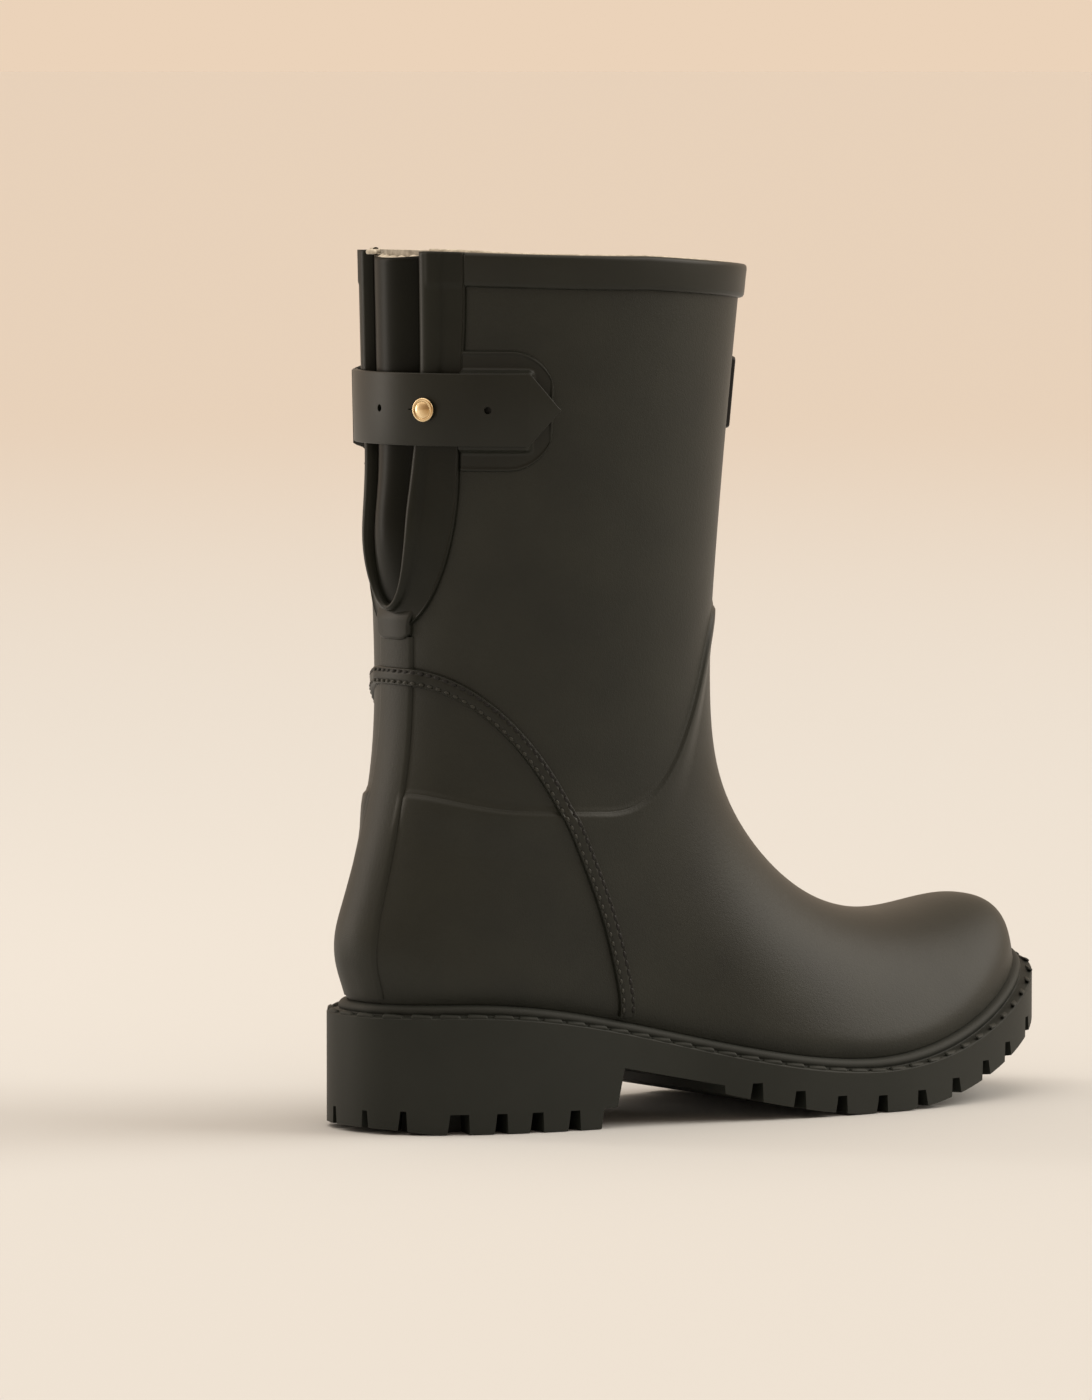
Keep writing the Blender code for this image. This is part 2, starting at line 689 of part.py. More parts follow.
STUD_SLOT_RADIUS = STUD_HEAD_RADIUS + 0.7
STUD_SLOT_LENGTH = 1.55
STUD_SLOT_SHIFT = 2.3
HOLE_RADIUS = 1.3
cut(
    STRAP_MIDDLE,
    axis_cutter("stud_slot", STUD_SLOT_RADIUS, STUD_GIRTH, 14.0, STUD_SLOT_LENGTH, STUD_SLOT_SHIFT),
    "stud opening",
)
cut(STRAP_MIDDLE, axis_cutter("hole_a", HOLE_RADIUS, STUD_GIRTH - HOLE_PITCH, 14.0), "first hole")
cut(STRAP_END, axis_cutter("hole_b", HOLE_RADIUS, STUD_GIRTH + HOLE_PITCH, 14.0), "last hole")


def turned(name, profile, look, girth, base_out):
    """A piece turned round the stud's axis from (radius, height) points, outer side first."""
    mesh = bpy.data.meshes.new(name)
    count = len(profile)
    points = [(radius * MM, 0.0, height * MM) for radius, height in profile]
    mesh.from_pydata(points, [(index, index + 1) for index in range(count - 1)], [])
    mesh.materials.append(make_material(name, *look))
    thing = bpy.data.objects.new(name, mesh)
    PARTS.objects.link(thing)
    screw = thing.modifiers.new("turn", "SCREW")
    screw.steps = 16
    screw.render_steps = 16
    screw.use_merge_vertices = True
    screw.merge_threshold = 0.0001
    base = around(girth, STRAP_HEIGHT, base_out)
    normal = around(girth, STRAP_HEIGHT, base_out + 1.0) - base
    thing.rotation_euler = (0.0, math.pi / 2.0, math.atan2(normal[1], normal[0]))
    thing.location = base * MM
    return thing


def stud_pieces():
    """The stud: a turned head on a neck, and the screw that holds it from under the tab."""
    tab_top = UNDER_LAYER_OUT + TAB_LIFT + TAB_THICKNESS + 0.1
    dome = [(STUD_HEAD_RADIUS * math.sin(a), 4.3 + 2.3 * math.cos(a)) for a in np.radians(np.linspace(0, 90, 7))]
    head = dome + [(STUD_HEAD_RADIUS - 0.4, 3.8), (1.6, 3.5), (1.5, 0.5), (2.6, 0.25), (2.6, 0.0)]
    bore = [(0.95, 0.0), (0.95, 2.6), (0.0, 2.6)]
    turned("stud", head + bore, BRASS, STUD_GIRTH, tab_top)
    screw = [(0.0, 2.4), (0.7, 2.4), (0.7, -1.45), (1.2, -1.5), (1.2, -1.8), (0.0, -1.8)]
    turned("stud_screw", screw, STEEL, STUD_GIRTH, tab_top)


stud_pieces()


# ----------------------------------------------------------------------------------------- sole

SOLE_ANGLES = np.radians(np.concatenate([[1.5, 7.0, 14.0], np.linspace(22.0, 158.0, 24), [166.0, 173.0, 178.5]]))


def sole_outline(offset, angles=SOLE_ANGLES):
    """(x, lateral y, medial y, seat z) stations of the seat line moved outwards by offset."""
    stations = []
    for side in (-1.0, 1.0):
        theta = side * angles
        step = 0.004
        here = skin(theta, 1.0)
        along = skin(theta + step, 1.0) - skin(theta - step, 1.0)
        out = np.stack([along[:, 1], -along[:, 0]], axis=-1)
        out = out / np.linalg.norm(out, axis=-1, keepdims=True)
        stations.append(np.column_stack([here[:, :2] + offset * out, here[:, 2]]))
    return stations


def slab(name, lateral, medial, top, bottom, look):
    """A closed slab between two edge lines, each with its own top and bottom heights."""
    count = len(lateral)
    rings = []
    for edge, height in ((lateral, top), (medial, top), (medial, bottom), (lateral, bottom)):
        rings.append(np.column_stack([edge[:, :2], height]))
    points = np.concatenate(rings)
    faces = []
    for ring in range(4):
        after = (ring + 1) % 4
        for index in range(count - 1):
            a, b = ring * count + index, after * count + index
            faces.append((a, b, b + 1, a + 1))
    ends = [tuple(ring * count for ring in range(4)), tuple(ring * count + count - 1 for ring in range(4))]
    faces += [ends[0][::-1], ends[1]]
    thing = mesh_object(name, points, faces, look)
    solid = bmesh.new()
    solid.from_mesh(thing.data)
    bmesh.ops.recalc_face_normals(solid, faces=solid.faces[:])
    solid.to_mesh(thing.data)
    solid.free()
    return thing


def paired(edges, stations):
    """Both edge lines read at the same x stations."""
    result = []
    for edge in edges:
        line = edge[np.argsort(edge[:, 0])]
        result.append(np.column_stack([stations] + [np.interp(stations, line[:, 0], line[:, k]) for k in (1, 2)]))
    return result


def tread_height(x):
    """Underside of the sole along its length: heel, arch and rockered forefoot."""
    rear = 1.8 * smooth(-122.0, -142.0, x)
    front = 8.4 * (np.clip(36.0 - x, 0.0, None) / 51.0) ** 1.5
    toe = 28.5 * (np.clip(x - 50.0, 0.0, None) / 89.0) ** 1.75
    return np.where(x < HEEL_BREAST + 4.0, rear, np.where(x < 0.0, front, toe + np.where(x < 36.0, front, 0.0)))


ARCH_FRONT = -20.5


def sole_underside(x):
    """tread_height with the arch hollow between the heel's breast and the forefoot tread."""
    arch = np.interp(x, [HEEL_BREAST + 4.5, ARCH_FRONT], [20.3, 12.6])
    in_arch = (x > HEEL_BREAST + 4.0) & (x < ARCH_FRONT)
    return np.where(in_arch, arch, tread_height(x))


def outsole():
    edges = sole_outline(WELT_OVERHANG)
    stations = np.concatenate(
        [
            [-141.9, -141.2, -139.4, -136.5, -132.0, -126.0, -118.0, -108.0, -90.0, -72.0],
            [HEEL_BREAST - 4.5, HEEL_BREAST + 4.6, -44.0, -30.0, ARCH_FRONT - 0.1, ARCH_FRONT + 0.1],
            [-6.0, 4.0, 14.0, 24.0, 36.0, 50.0, 60.0, 70.0, 80.0, 90.0, 100.0, 110.0, 119.0, 126.5],
            [132.0, 136.5, 139.4, 141.2, 141.9],
        ]
    )
    lateral, medial = paired(edges, stations)
    seat = np.minimum(lateral[:, 2], medial[:, 2])
    top = seat - WELT_THICKNESS - 2.0 * GAP - 0.3
    thing = slab("outsole", lateral, medial, top, sole_underside(stations), SOLE_RUBBER)
    return thing


OUTSOLE = outsole()


def box_cutter(name, centre, size, turn_z=0.0, tilt_y=0.0):
    bpy.ops.mesh.primitive_cube_add(size=1.0)
    thing = bpy.context.active_object
    thing.name = name
    thing.data.materials.append(make_material(name, *RUBBER))
    thing.scale = [side * MM for side in size]
    thing.rotation_euler = (0.0, tilt_y, turn_z)
    thing.location = [value * MM for value in centre]
    for collection in list(thing.users_collection):
        collection.objects.unlink(thing)
    PARTS.objects.link(thing)
    return thing


NOTCH_DEPTH = 7.2
NOTCH_REACH = 13.0
HEEL_NOTCHES = ((-133.5, 2.6), (-118.0, 6.9), (-104.2, 3.4), (-91.7, 3.6), (-77.7, 3.6))
FRONT_NOTCHES = (-8.6, 7.8, 24.9, 42.4, 60.1, 77.2, 93.9, 108.4)


def edge_frame(x, side):
    """Point of the sole's edge and the turn of its normal, at x on one side."""
    edge = sole_outline(WELT_OVERHANG)[0 if side < 0 else 1]
    line = edge[np.argsort(edge[:, 0])]
    y = np.interp(x, line[:, 0], line[:, 1])
    ahead = np.interp(x + 2.0, line[:, 0], line[:, 1])
    behind = np.interp(x - 2.0, line[:, 0], line[:, 1])
    return y, math.atan2(ahead - behind, 4.0)


def tread_notches():
    """All notches between the lugs, as one cutter object."""
    pieces = []
    for side in (-1.0, 1.0):
        for x, width in HEEL_NOTCHES:
            pieces.append((x, side, width))
        for x in FRONT_NOTCHES:
            pieces.append((x, side, 3.6))
    boxes = []
    for index, (x, side, width) in enumerate(pieces):
        y, turn = edge_frame(x, side)
        turn = 0.75 * turn
        middle_y = y - side * (NOTCH_REACH / 2.0 - 3.0)
        floor = float(tread_height(np.array(x)))
        centre = (x, middle_y, floor + NOTCH_DEPTH / 2.0 - 3.0)
        size = (width, NOTCH_REACH, NOTCH_DEPTH + 6.0)
        boxes.append(box_cutter(f"notch_{index}", centre, size, turn))
    bpy.ops.object.select_all(action="DESELECT")
    for box in boxes:
        box.select_set(True)
    bpy.context.view_layer.objects.active = boxes[0]
    bpy.ops.object.join()
    joined = boxes[0]
    joined.name = "tread_notches"
    return make_cutter(joined)


cut(OUTSOLE, tread_notches(), "lug notches")


def welt():
    """The strip under the upper's edge, standing out all round."""
    angles = np.linspace(-math.pi, math.pi, 48, endpoint=False)
    step = 0.004
    here = skin(angles, 1.0)
    along = skin(angles + step, 1.0) - skin(angles - step, 1.0)
    out = np.stack([along[:, 1], -along[:, 0], 0.0 * angles], axis=-1)
    out = out / np.linalg.norm(out, axis=-1, keepdims=True)
    grid = np.array([here + out * offset for offset in (-6.0, 1.0, WELT_OVERHANG)])
    grid[0, :, 2] = seat_height(grid[0, :, 0])
    grid[:, :, 2] -= GAP
    grid[2, :, 2] -= 0.6
    rows, columns = grid.shape[:2]
    lowered = grid.copy()
    lowered[:, :, 2] = here[None, :, 2] - GAP - WELT_THICKNESS
    lowered[0, :, 2] = grid[0, :, 2] - WELT_THICKNESS
    points = np.concatenate([grid.reshape(-1, 3), lowered.reshape(-1, 3)])
    top = grid_faces(rows, columns, True)
    under = [tuple(index + rows * columns for index in face)[::-1] for face in top]
    sides = []
    for row in (0, rows - 1):
        for column in range(columns):
            after = (column + 1) % columns
            a, b = row * columns + column, row * columns + after
            sides.append((a, b, b + rows * columns, a + rows * columns))
    thing = mesh_object("welt", points, top + under + sides, SOLE_RUBBER)
    solid = bmesh.new()
    solid.from_mesh(thing.data)
    bmesh.ops.recalc_face_normals(solid, faces=solid.faces[:])
    solid.to_mesh(thing.data)
    solid.free()
    return thing


welt()


def inner_slab(name, inset, low, high, look, first=None, last=None, columns=20):
    """A slab inside the seat line, with its faces low and high above the seat."""
    edges = sole_outline(-inset)
    start = max(edge[:, 0].min() for edge in edges) + 0.4 if first is None else first
    stop = min(edge[:, 0].max() for edge in edges) - 0.4 if last is None else last
    middle, half = 0.5 * (start + stop), 0.5 * (stop - start)
    stations = middle - half * np.cos(np.linspace(0.0, math.pi, columns))
    lateral, medial = paired(edges, stations)
    seat = seat_height(stations)
    return slab(name, lateral, medial, seat + high, seat + low, look)


STACK_LOW = -GAP - WELT_THICKNESS
inner_slab("insole_board", SKIN_THICKNESS + 1.4, 0.5, 2.1, BOARD)
inner_slab("footbed", 7.4, 2.5, 6.5, FOAM)
inner_slab("sole_filler", 7.4, STACK_LOW + 1.0, -0.3, FOAM)


def shank():
    """The steel strip that stiffens the waist, under the filler."""
    x = np.linspace(-95.0, 18.0, 12)
    middle = sole_centre(x)
    edges = [np.column_stack([x, middle + side * 7.0, seat_height(x)]) for side in (-1.0, 1.0)]
    seat = seat_height(x)
    return slab("shank", edges[0], edges[1], seat + STACK_LOW + 0.6, seat + STACK_LOW - 0.3, STEEL)


shank()


def heel_core():
    """The light block inside the hollow heel, and the pocket that it sits in."""
    x = np.linspace(-124.0, -70.0, 7)
    width = 22.0 * np.sqrt(1.0 - np.clip((-104.0 - x) / 23.0, 0.0, 1.0) ** 2)
    edges = [np.column_stack([x, side * width, x * 0.0]) for side in (-1.0, 1.0)]
    seat = seat_height(x)
    wider = [np.column_stack([x * 1.0 + (x - x.mean()) * 0.02, side * (width + 0.5), x * 0.0]) for side in (-1.0, 1.0)]
    pocket = slab("heel_pocket", wider[0], wider[1], seat + 5.0, np.full(7, 13.0), RUBBER)
    cut(OUTSOLE, make_cutter(pocket), "heel pocket")
    return slab("heel_core", edges[0], edges[1], seat + STACK_LOW - 1.6, np.full(7, 13.5), FOAM)


heel_core()
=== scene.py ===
"""Looks of the mid-height rubber rain boot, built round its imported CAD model.

Constants and tables are in millimetres unless their name says otherwise; MM turns them into metres.
The upper's surface is the CAD's: theta turns round the boot, 0 at the toe, negative on the lateral
side; t runs from 0 at the rim to 1 at the sole; girth runs round the leg from the middle of its rear.
"""

import math

import bmesh
import bpy
import numpy as np
from mathutils import Matrix, Vector

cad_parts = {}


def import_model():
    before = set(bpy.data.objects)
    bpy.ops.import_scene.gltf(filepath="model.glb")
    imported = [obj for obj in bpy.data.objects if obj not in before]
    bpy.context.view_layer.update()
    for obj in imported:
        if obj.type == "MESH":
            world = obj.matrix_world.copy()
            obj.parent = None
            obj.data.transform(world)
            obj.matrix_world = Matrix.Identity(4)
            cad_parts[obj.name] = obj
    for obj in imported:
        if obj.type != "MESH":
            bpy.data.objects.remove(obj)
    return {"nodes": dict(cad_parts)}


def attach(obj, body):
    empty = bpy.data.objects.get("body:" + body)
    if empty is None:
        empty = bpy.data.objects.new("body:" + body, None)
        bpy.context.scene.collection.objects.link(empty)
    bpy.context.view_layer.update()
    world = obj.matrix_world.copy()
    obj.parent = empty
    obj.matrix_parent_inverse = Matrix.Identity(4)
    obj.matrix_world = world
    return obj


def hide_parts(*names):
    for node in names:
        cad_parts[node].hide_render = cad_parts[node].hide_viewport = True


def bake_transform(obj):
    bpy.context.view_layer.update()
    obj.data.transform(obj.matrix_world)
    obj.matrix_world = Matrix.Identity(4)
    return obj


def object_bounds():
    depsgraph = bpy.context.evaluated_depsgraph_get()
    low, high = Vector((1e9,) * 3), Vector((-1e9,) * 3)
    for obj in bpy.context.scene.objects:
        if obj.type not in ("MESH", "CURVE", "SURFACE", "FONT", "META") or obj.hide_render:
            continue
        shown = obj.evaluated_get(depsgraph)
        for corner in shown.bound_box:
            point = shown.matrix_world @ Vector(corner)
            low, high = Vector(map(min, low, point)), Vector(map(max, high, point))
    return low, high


MM = 0.001

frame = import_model()
CAD_LOW, CAD_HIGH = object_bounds()
FLOOR_Z = CAD_LOW.z

# Dimensions that the CAD source also holds
HEEL_SEAT_HEIGHT = 43.5
BALL_SEAT_HEIGHT = 18.4
TOE_SPRING = 31.0
HEEL_BREAST = -63.0
ARCH_FRONT = -20.5
STRAP_HEIGHT = 244.5
STRAP_WIDTH = 24.5
STUD_GIRTH = 22.0
HOLE_PITCH = 19.5
HINGES = (-29.8, -6.0, 30.0)
STRAP_TIP = 63.6
SHOULDER = 54.0
SLOT_FOOT = 176.5

# Stations of the upper, from the rim down: t, rear x, front x, widest x, half width, roundness,
# side, front and rear heights, the front's sharpness and its share of the sole's plan shape.
STATIONS = (
    (0.00, -124.0, 10.0, -56.0, 55.5, 2.10, 295.6, 291.3, 297.5, 1.0, 0.00),
    (0.18, -123.0, 4.0, -57.0, 54.0, 2.10, 244.3, 240.3, 245.3, 1.0, 0.00),
    (0.36, -122.0, -0.5, -59.0, 51.0, 2.10, 189.3, 186.3, 190.3, 1.0, 0.00),
    (0.50, -121.5, -1.0, -60.0, 48.0, 2.10, 146.3, 146.3, 146.3, 1.1, 0.00),
    (0.58, -124.0, 3.5, -60.0, 46.0, 2.10, 118.3, 116.3, 118.3, 1.3, 0.08),
    (0.66, -130.0, 18.5, -54.0, 45.0, 2.10, 86.5, 88.5, 88.5, 1.6, 0.22),
    (0.74, -136.0, 46.0, -42.0, 45.5, 2.15, 56.5, 64.5, 60.5, 1.9, 0.42),
    (0.82, -139.5, 84.0, -20.0, 47.0, 2.25, 31.0, 48.4, 37.0, 2.1, 0.68),
    (0.90, -139.0, 116.0, 8.0, 49.0, 2.40, 12.5, 34.6, 17.5, 2.1, 0.88),
    (0.96, -136.5, 131.5, 28.0, 49.5, 2.50, 4.5, 16.2, 6.0, 2.0, 0.97),
    (1.00, -135.2, 135.2, 36.0, 48.5, 2.50, 0.0, 0.0, 0.0, 2.0, 1.00),
)


# ---- the upper's surface

def clamp(value):
    return np.clip(value, 0.0, 1.0)


def smooth(start, end, value):
    ramp = clamp((np.asarray(value, float) - start) / (end - start))
    return ramp * ramp * (3.0 - 2.0 * ramp)


def bump(centre, width, value):
    return np.exp(-(((np.asarray(value, float) - centre) / width) ** 2))


def natural_spline(knots, values):
    """A smooth curve through the rows of values, as a function of one parameter."""
    gaps = np.diff(knots)
    count = len(knots)
    system = np.eye(count)
    right = np.zeros_like(values)
    for row in range(1, count - 1):
        before, after = gaps[row - 1], gaps[row]
        system[row, row - 1 : row + 2] = before, 2.0 * (before + after), after
        rise_after = (values[row + 1] - values[row]) / after
        rise_before = (values[row] - values[row - 1]) / before
        right[row] = 6.0 * (rise_after - rise_before)
    bends = np.linalg.solve(system, right)

    def curve(t):
        t = np.clip(np.asarray(t, float), knots[0], knots[-1])
        cell = np.clip(np.searchsorted(knots, t, side="right") - 1, 0, count - 2)
        gap = gaps[cell][..., None]
        far = (t - knots[cell])[..., None] / gap
        near = 1.0 - far
        straight = near * values[cell] + far * values[cell + 1]
        curved = (near**3 - near) * bends[cell] + (far**3 - far) * bends[cell + 1]
        return straight + curved * gap * gap / 6.0

    return curve


TABLE = np.array(STATIONS)
station = natural_spline(TABLE[:, 0], TABLE[:, 1:])


def seat_height(x):
    drop = (HEEL_SEAT_HEIGHT - BALL_SEAT_HEIGHT) * smooth(-115.0, 45.0, x)
    spring = TOE_SPRING * (np.maximum(x - 42.0, 0.0) / 92.0) ** 2
    return HEEL_SEAT_HEIGHT - drop + spring


def sole_centre(x):
    return 9.0 * smooth(45.0, 145.0, x) - 5.0 * bump(-5.0, 45.0, x)


def signed_power(value, power):
    return np.sign(value) * np.abs(value) ** power


def unit(vectors):
    return vectors / np.linalg.norm(vectors, axis=-1, keepdims=True)


def stack(x, y, z):
    return np.stack(np.broadcast_arrays(x, y, z), axis=-1)


def skin(theta, t):
    """Point of the upper's outer surface."""
    theta, t = np.broadcast_arrays(np.asarray(theta, float), np.asarray(t, float))
    columns = np.moveaxis(station(t), -1, 0)
    rear, front, middle, width, roundness, side_z, front_z, rear_z, sharp, foot = columns
    along = signed_power(np.cos(theta), 2.0 / roundness)
    across = signed_power(np.sin(theta), 2.0 / roundness)
    x = middle + np.where(along >= 0.0, front - middle, middle - rear) * along
    waist = 1.0 - 0.17 * bump(-35.0, 48.0, x)
    y = width * across * (1.0 - (1.0 - waist) * foot) + foot * sole_centre(x)
    ahead = np.maximum(np.cos(theta), 0.0) ** sharp
    behind = np.maximum(-np.cos(theta), 0.0) ** 1.5
    z = foot * seat_height(x) + side_z + (front_z - side_z) * ahead + (rear_z - side_z) * behind
    return stack(x, y, z)


def skin_normal(theta, t):
    step = 0.002
    down = skin(theta, np.minimum(t + step, 1.0)) - skin(theta, np.maximum(t - step, 0.0))
    sideways = skin(theta + step, t) - skin(theta - step, t)
    return unit(np.cross(down, sideways))


def offset_skin(theta, t, out):
    """The skin's point moved out along its normal by out millimetres."""
    theta, t, out = np.broadcast_arrays(theta, t, np.asarray(out, float))
    return skin(theta, t) + skin_normal(theta, t) * out[..., None]


def t_where(theta, height, start=0.0):
    """The t, after start, at which the skin comes down to height on each meridian."""
    low = np.full(np.shape(theta), start)
    high = np.ones(low.shape)
    for _ in range(24):
        middle = 0.5 * (low + high)
        above = skin(theta, middle)[..., 2] > height
        low = np.where(above, middle, low)
        high = np.where(above, high, middle)
    return 0.5 * (low + high)


def run_lengths(points):
    """The distance along a polyline at each of its points."""
    return np.concatenate([[0.0], np.cumsum(np.linalg.norm(np.diff(points, axis=0), axis=1))])


# Girth is measured at the strap, at this t. Over LEG_RADIUS it gives an angle round the leg.
STRAP_LEVEL = 0.18
LEG_RADIUS = 54.0
ANGLES = np.linspace(-math.pi, math.pi, 721)
GIRTH = run_lengths(skin(ANGLES - math.pi, STRAP_LEVEL)[:, :2])
GIRTH = GIRTH - np.interp(0.0, ANGLES, GIRTH)


def theta_of(girth):
    return np.interp(girth, GIRTH, ANGLES) - math.pi


def around(girth, z, out):
    """Point of the leg at a girth from the middle of its rear, positive on the lateral side."""
    girth, z, out = np.broadcast_arrays(np.asarray(girth, float), z, out)
    theta = theta_of(girth)
    return offset_skin(theta, t_where(theta, z), out)


def rear_turn(theta):
    """Degrees from the middle of the rear, on either side."""
    return np.degrees(math.pi - np.abs((theta + math.pi) % (2.0 * math.pi) - math.pi))


def seam_t(theta):
    """The arched top edge of the foot's layer."""
    turn = rear_turn(theta)
    climb = np.clip((turn - 85.0) / 53.5, 0.0, 2.0) ** 1.9
    levelled = climb / (1.0 + (climb / 1.08) ** 8) ** 0.125
    return 0.606 + 0.016 * smooth(15.0, 60.0, turn) - 0.206 * levelled


def slot_half(z):
    """Half width, in girth, of the gusset's opening at height z."""
    leg = 11.5 + 4.3 * smooth(205.0, 262.0, z)
    depth = clamp((205.0 - z) / 27.0)
    return leg * np.sqrt(1.0 - depth**2)


def rear_bulge(z):
    """How far the foot of the gusset and its binding swell out."""
    return 3.2 * bump(197.0, 21.0, z)


def t_per_millimetre(theta, t):
    """How much t goes down the skin in one millimetre."""
    step = 0.004
    length = np.linalg.norm(skin(theta, t + step) - skin(theta, t - step), axis=-1)
    return 2.0 * step / length


RIDGE_HEIGHT = 1.3
RIDGE_FOOT = 0.35


def ridge(theta, t):
    """Rise of the surface at the arched seam, which dies out before the rear strip."""
    edge = seam_t(theta)
    below = (t - edge) / t_per_millimetre(theta, np.clip(edge, 0.01, 0.99))
    rise = RIDGE_FOOT * smooth(-2.4, -0.4, below)
    rise = rise + (RIDGE_HEIGHT - RIDGE_FOOT) * smooth(-0.4, 1.5, below)
    return rise * (1.0 - smooth(3.0, 18.0, below)) * smooth(9.0, 15.0, rear_turn(theta))


# ---- materials

def add_node(tree, kind, **settings):
    node = tree.nodes.new(kind)
    for name, value in settings.items():
        setattr(node, name, value)
    return node


def link(tree, source, output, target, into):
    tree.links.new(source.outputs[output], target.inputs[into])


def new_material(name, color, roughness, metallic=0.0):
    material = bpy.data.materials.new(name)
    material.use_nodes = True
    shader = material.node_tree.nodes["Principled BSDF"]
    shader.inputs["Base Color"].default_value = (*color, 1.0)
    shader.inputs["Roughness"].default_value = roughness
    shader.inputs["Metallic"].default_value = metallic
    return material, material.node_tree, shader


def noise(tree, scale, detail=2.0):
    """A noise texture in object space; scale is in cycles per metre."""
    place = add_node(tree, "ShaderNodeTexCoord")
    texture = add_node(tree, "ShaderNodeTexNoise")
    texture.inputs["Scale"].default_value = scale
    texture.inputs["Detail"].default_value = detail
    link(tree, place, "Object", texture, "Vector")
    return texture


def color_ramp(tree, *stops):
    """A colour ramp between two (position, colour) stops."""
    ramp = add_node(tree, "ShaderNodeValToRGB")
    for element, (position, color) in zip(ramp.color_ramp.elements, stops):
        element.position = position
        element.color = (*color, 1.0)
    return ramp


def mottle(tree, shader, scale, dark, light):
    """A slow change of colour over the surface."""
    ramp = color_ramp(tree, (0.32, dark), (0.70, light))
    link(tree, noise(tree, scale, 3.0), "Fac", ramp, "Fac")
    link(tree, ramp, "Color", shader, "Base Color")


def grain(tree, shader, layers):
    """Fine relief: layers of (cycles per metre, height in millimetres)."""
    below = None
    for scale, height in layers:
        relief = add_node(tree, "ShaderNodeBump")
        relief.inputs["Strength"].default_value = 1.0
        relief.inputs["Distance"].default_value = height * MM
        link(tree, noise(tree, scale), "Fac", relief, "Height")
        if below:
            link(tree, below, "Normal", relief, "Normal")
        below = relief
    link(tree, below, "Normal", shader, "Normal")


def surface(name, dark, light, roughness, layers, shine=0.30, scale=38.0, sheen=0.0, metallic=0.0):
    """A mottled and grained material. scale is the mottling's, in cycles per metre."""
    material, tree, shader = new_material(name, light, roughness, metallic)
    shader.inputs["Specular IOR Level"].default_value = shine
    shader.inputs["Sheen Weight"].default_value = sheen
    mottle(tree, shader, scale, dark, light)
    grain(tree, shader, layers)
    return material


# Layers of relief, as grain takes them
RELIEF = ((3200.0, 0.012),)
FAINT_RELIEF = ((3200.0, 0.010),)
BOOT_RELIEF = ((2400.0, 0.060), (900.0, 0.050))
SOLE_RELIEF = ((3200.0, 0.020), (700.0, 0.015))
KNIT_LOOPS = ((1500.0, 0.20), (600.0, 0.12))

BOOT_RUBBER = surface("boot_rubber", (0.0115, 0.0130, 0.0095), (0.0165, 0.0180, 0.0130), 0.46, BOOT_RELIEF)
TRIM_RUBBER = surface("trim_rubber", (0.0105, 0.0116, 0.0085), (0.0140, 0.0153, 0.0113), 0.40, RELIEF, 0.26)
# The gusset roll is the boot's rubber darkened with painted shade, for the deep shade between its folds.
SHADED_ROLL_RUBBER = surface("roll_rubber_painted_shade", (0.0050, 0.0056, 0.0040), (0.0072, 0.0079, 0.0056), 0.34, RELIEF, 0.10)
# The binding's colour is the boot's rubber partly darkened with painted shade: a tone between the lit rubber
# below the strap and the shaded rolls near the rim.
BINDING_RUBBER_PART_SHADED = surface(
    "binding_rubber_part_painted_shade", (0.0090, 0.0101, 0.0072), (0.0130, 0.0142, 0.0102), 0.36, RELIEF, 0.18
)
SOLE_RUBBER = surface("sole_rubber", (0.0125, 0.0150, 0.0120), (0.0160, 0.0185, 0.0150), 0.60, SOLE_RELIEF)
BADGE_RUBBER = surface("badge_rubber", (0.0030, 0.0030, 0.0030), (0.0042, 0.0042, 0.0040), 0.40, FAINT_RELIEF)
# The front row of stitches is painted dark: painted shade that stands for the shade in the stitch holes.
STITCH_HOLE_PAINTED_SHADE = surface("stitch_hole_painted_shade", (0.0030, 0.0030, 0.0025), (0.0045, 0.0045, 0.0035), 0.45, FAINT_RELIEF)
# The rear row of stitches is the boot's rubber lightened with a painted highlight, for the gloss that catches
# the light.
STITCH_PAINTED_HIGHLIGHT = surface("stitch_painted_highlight", (0.022, 0.023, 0.018), (0.030, 0.031, 0.025), 0.36, FAINT_RELIEF)
LINING_KNIT = surface(
    "knit_lining", (0.30, 0.275, 0.235), (0.55, 0.52, 0.46), 0.95, KNIT_LOOPS, 0.15, 420.0, 0.25
)
CUT_KNIT = surface(
    "knit_cut_edge", (0.46, 0.42, 0.34), (0.74, 0.69, 0.58), 0.95, KNIT_LOOPS, 0.15, 420.0, 0.25
)


def stud_metal():
    """Pale gold with a painted reflection: painted shade where it faces the viewer, a painted highlight
    towards its rim, and a slightly uneven polish.
    """
    material, tree, shader = new_material("stud_metal", (0.83, 0.62, 0.36), 0.24, 1.0)
    # Painted reflection: a Layer Weight ramp paints the dome darker where it faces the viewer and lighter
    # towards its rim.
    facing = add_node(tree, "ShaderNodeLayerWeight")
    facing.inputs["Blend"].default_value = 0.5
    painted_reflection_tint = color_ramp(tree, (0.0, (0.50, 0.31, 0.13)), (0.30, (0.98, 0.78, 0.48)))
    link(tree, facing, "Facing", painted_reflection_tint, "Fac")
    link(tree, painted_reflection_tint, "Color", shader, "Base Color")
    polish = add_node(tree, "ShaderNodeMapRange")
    polish.inputs["To Min"].default_value = 0.19
    polish.inputs["To Max"].default_value = 0.32
    link(tree, noise(tree, 260.0), "Fac", polish, "Value")
    link(tree, polish, "Result", shader, "Roughness")
    return material


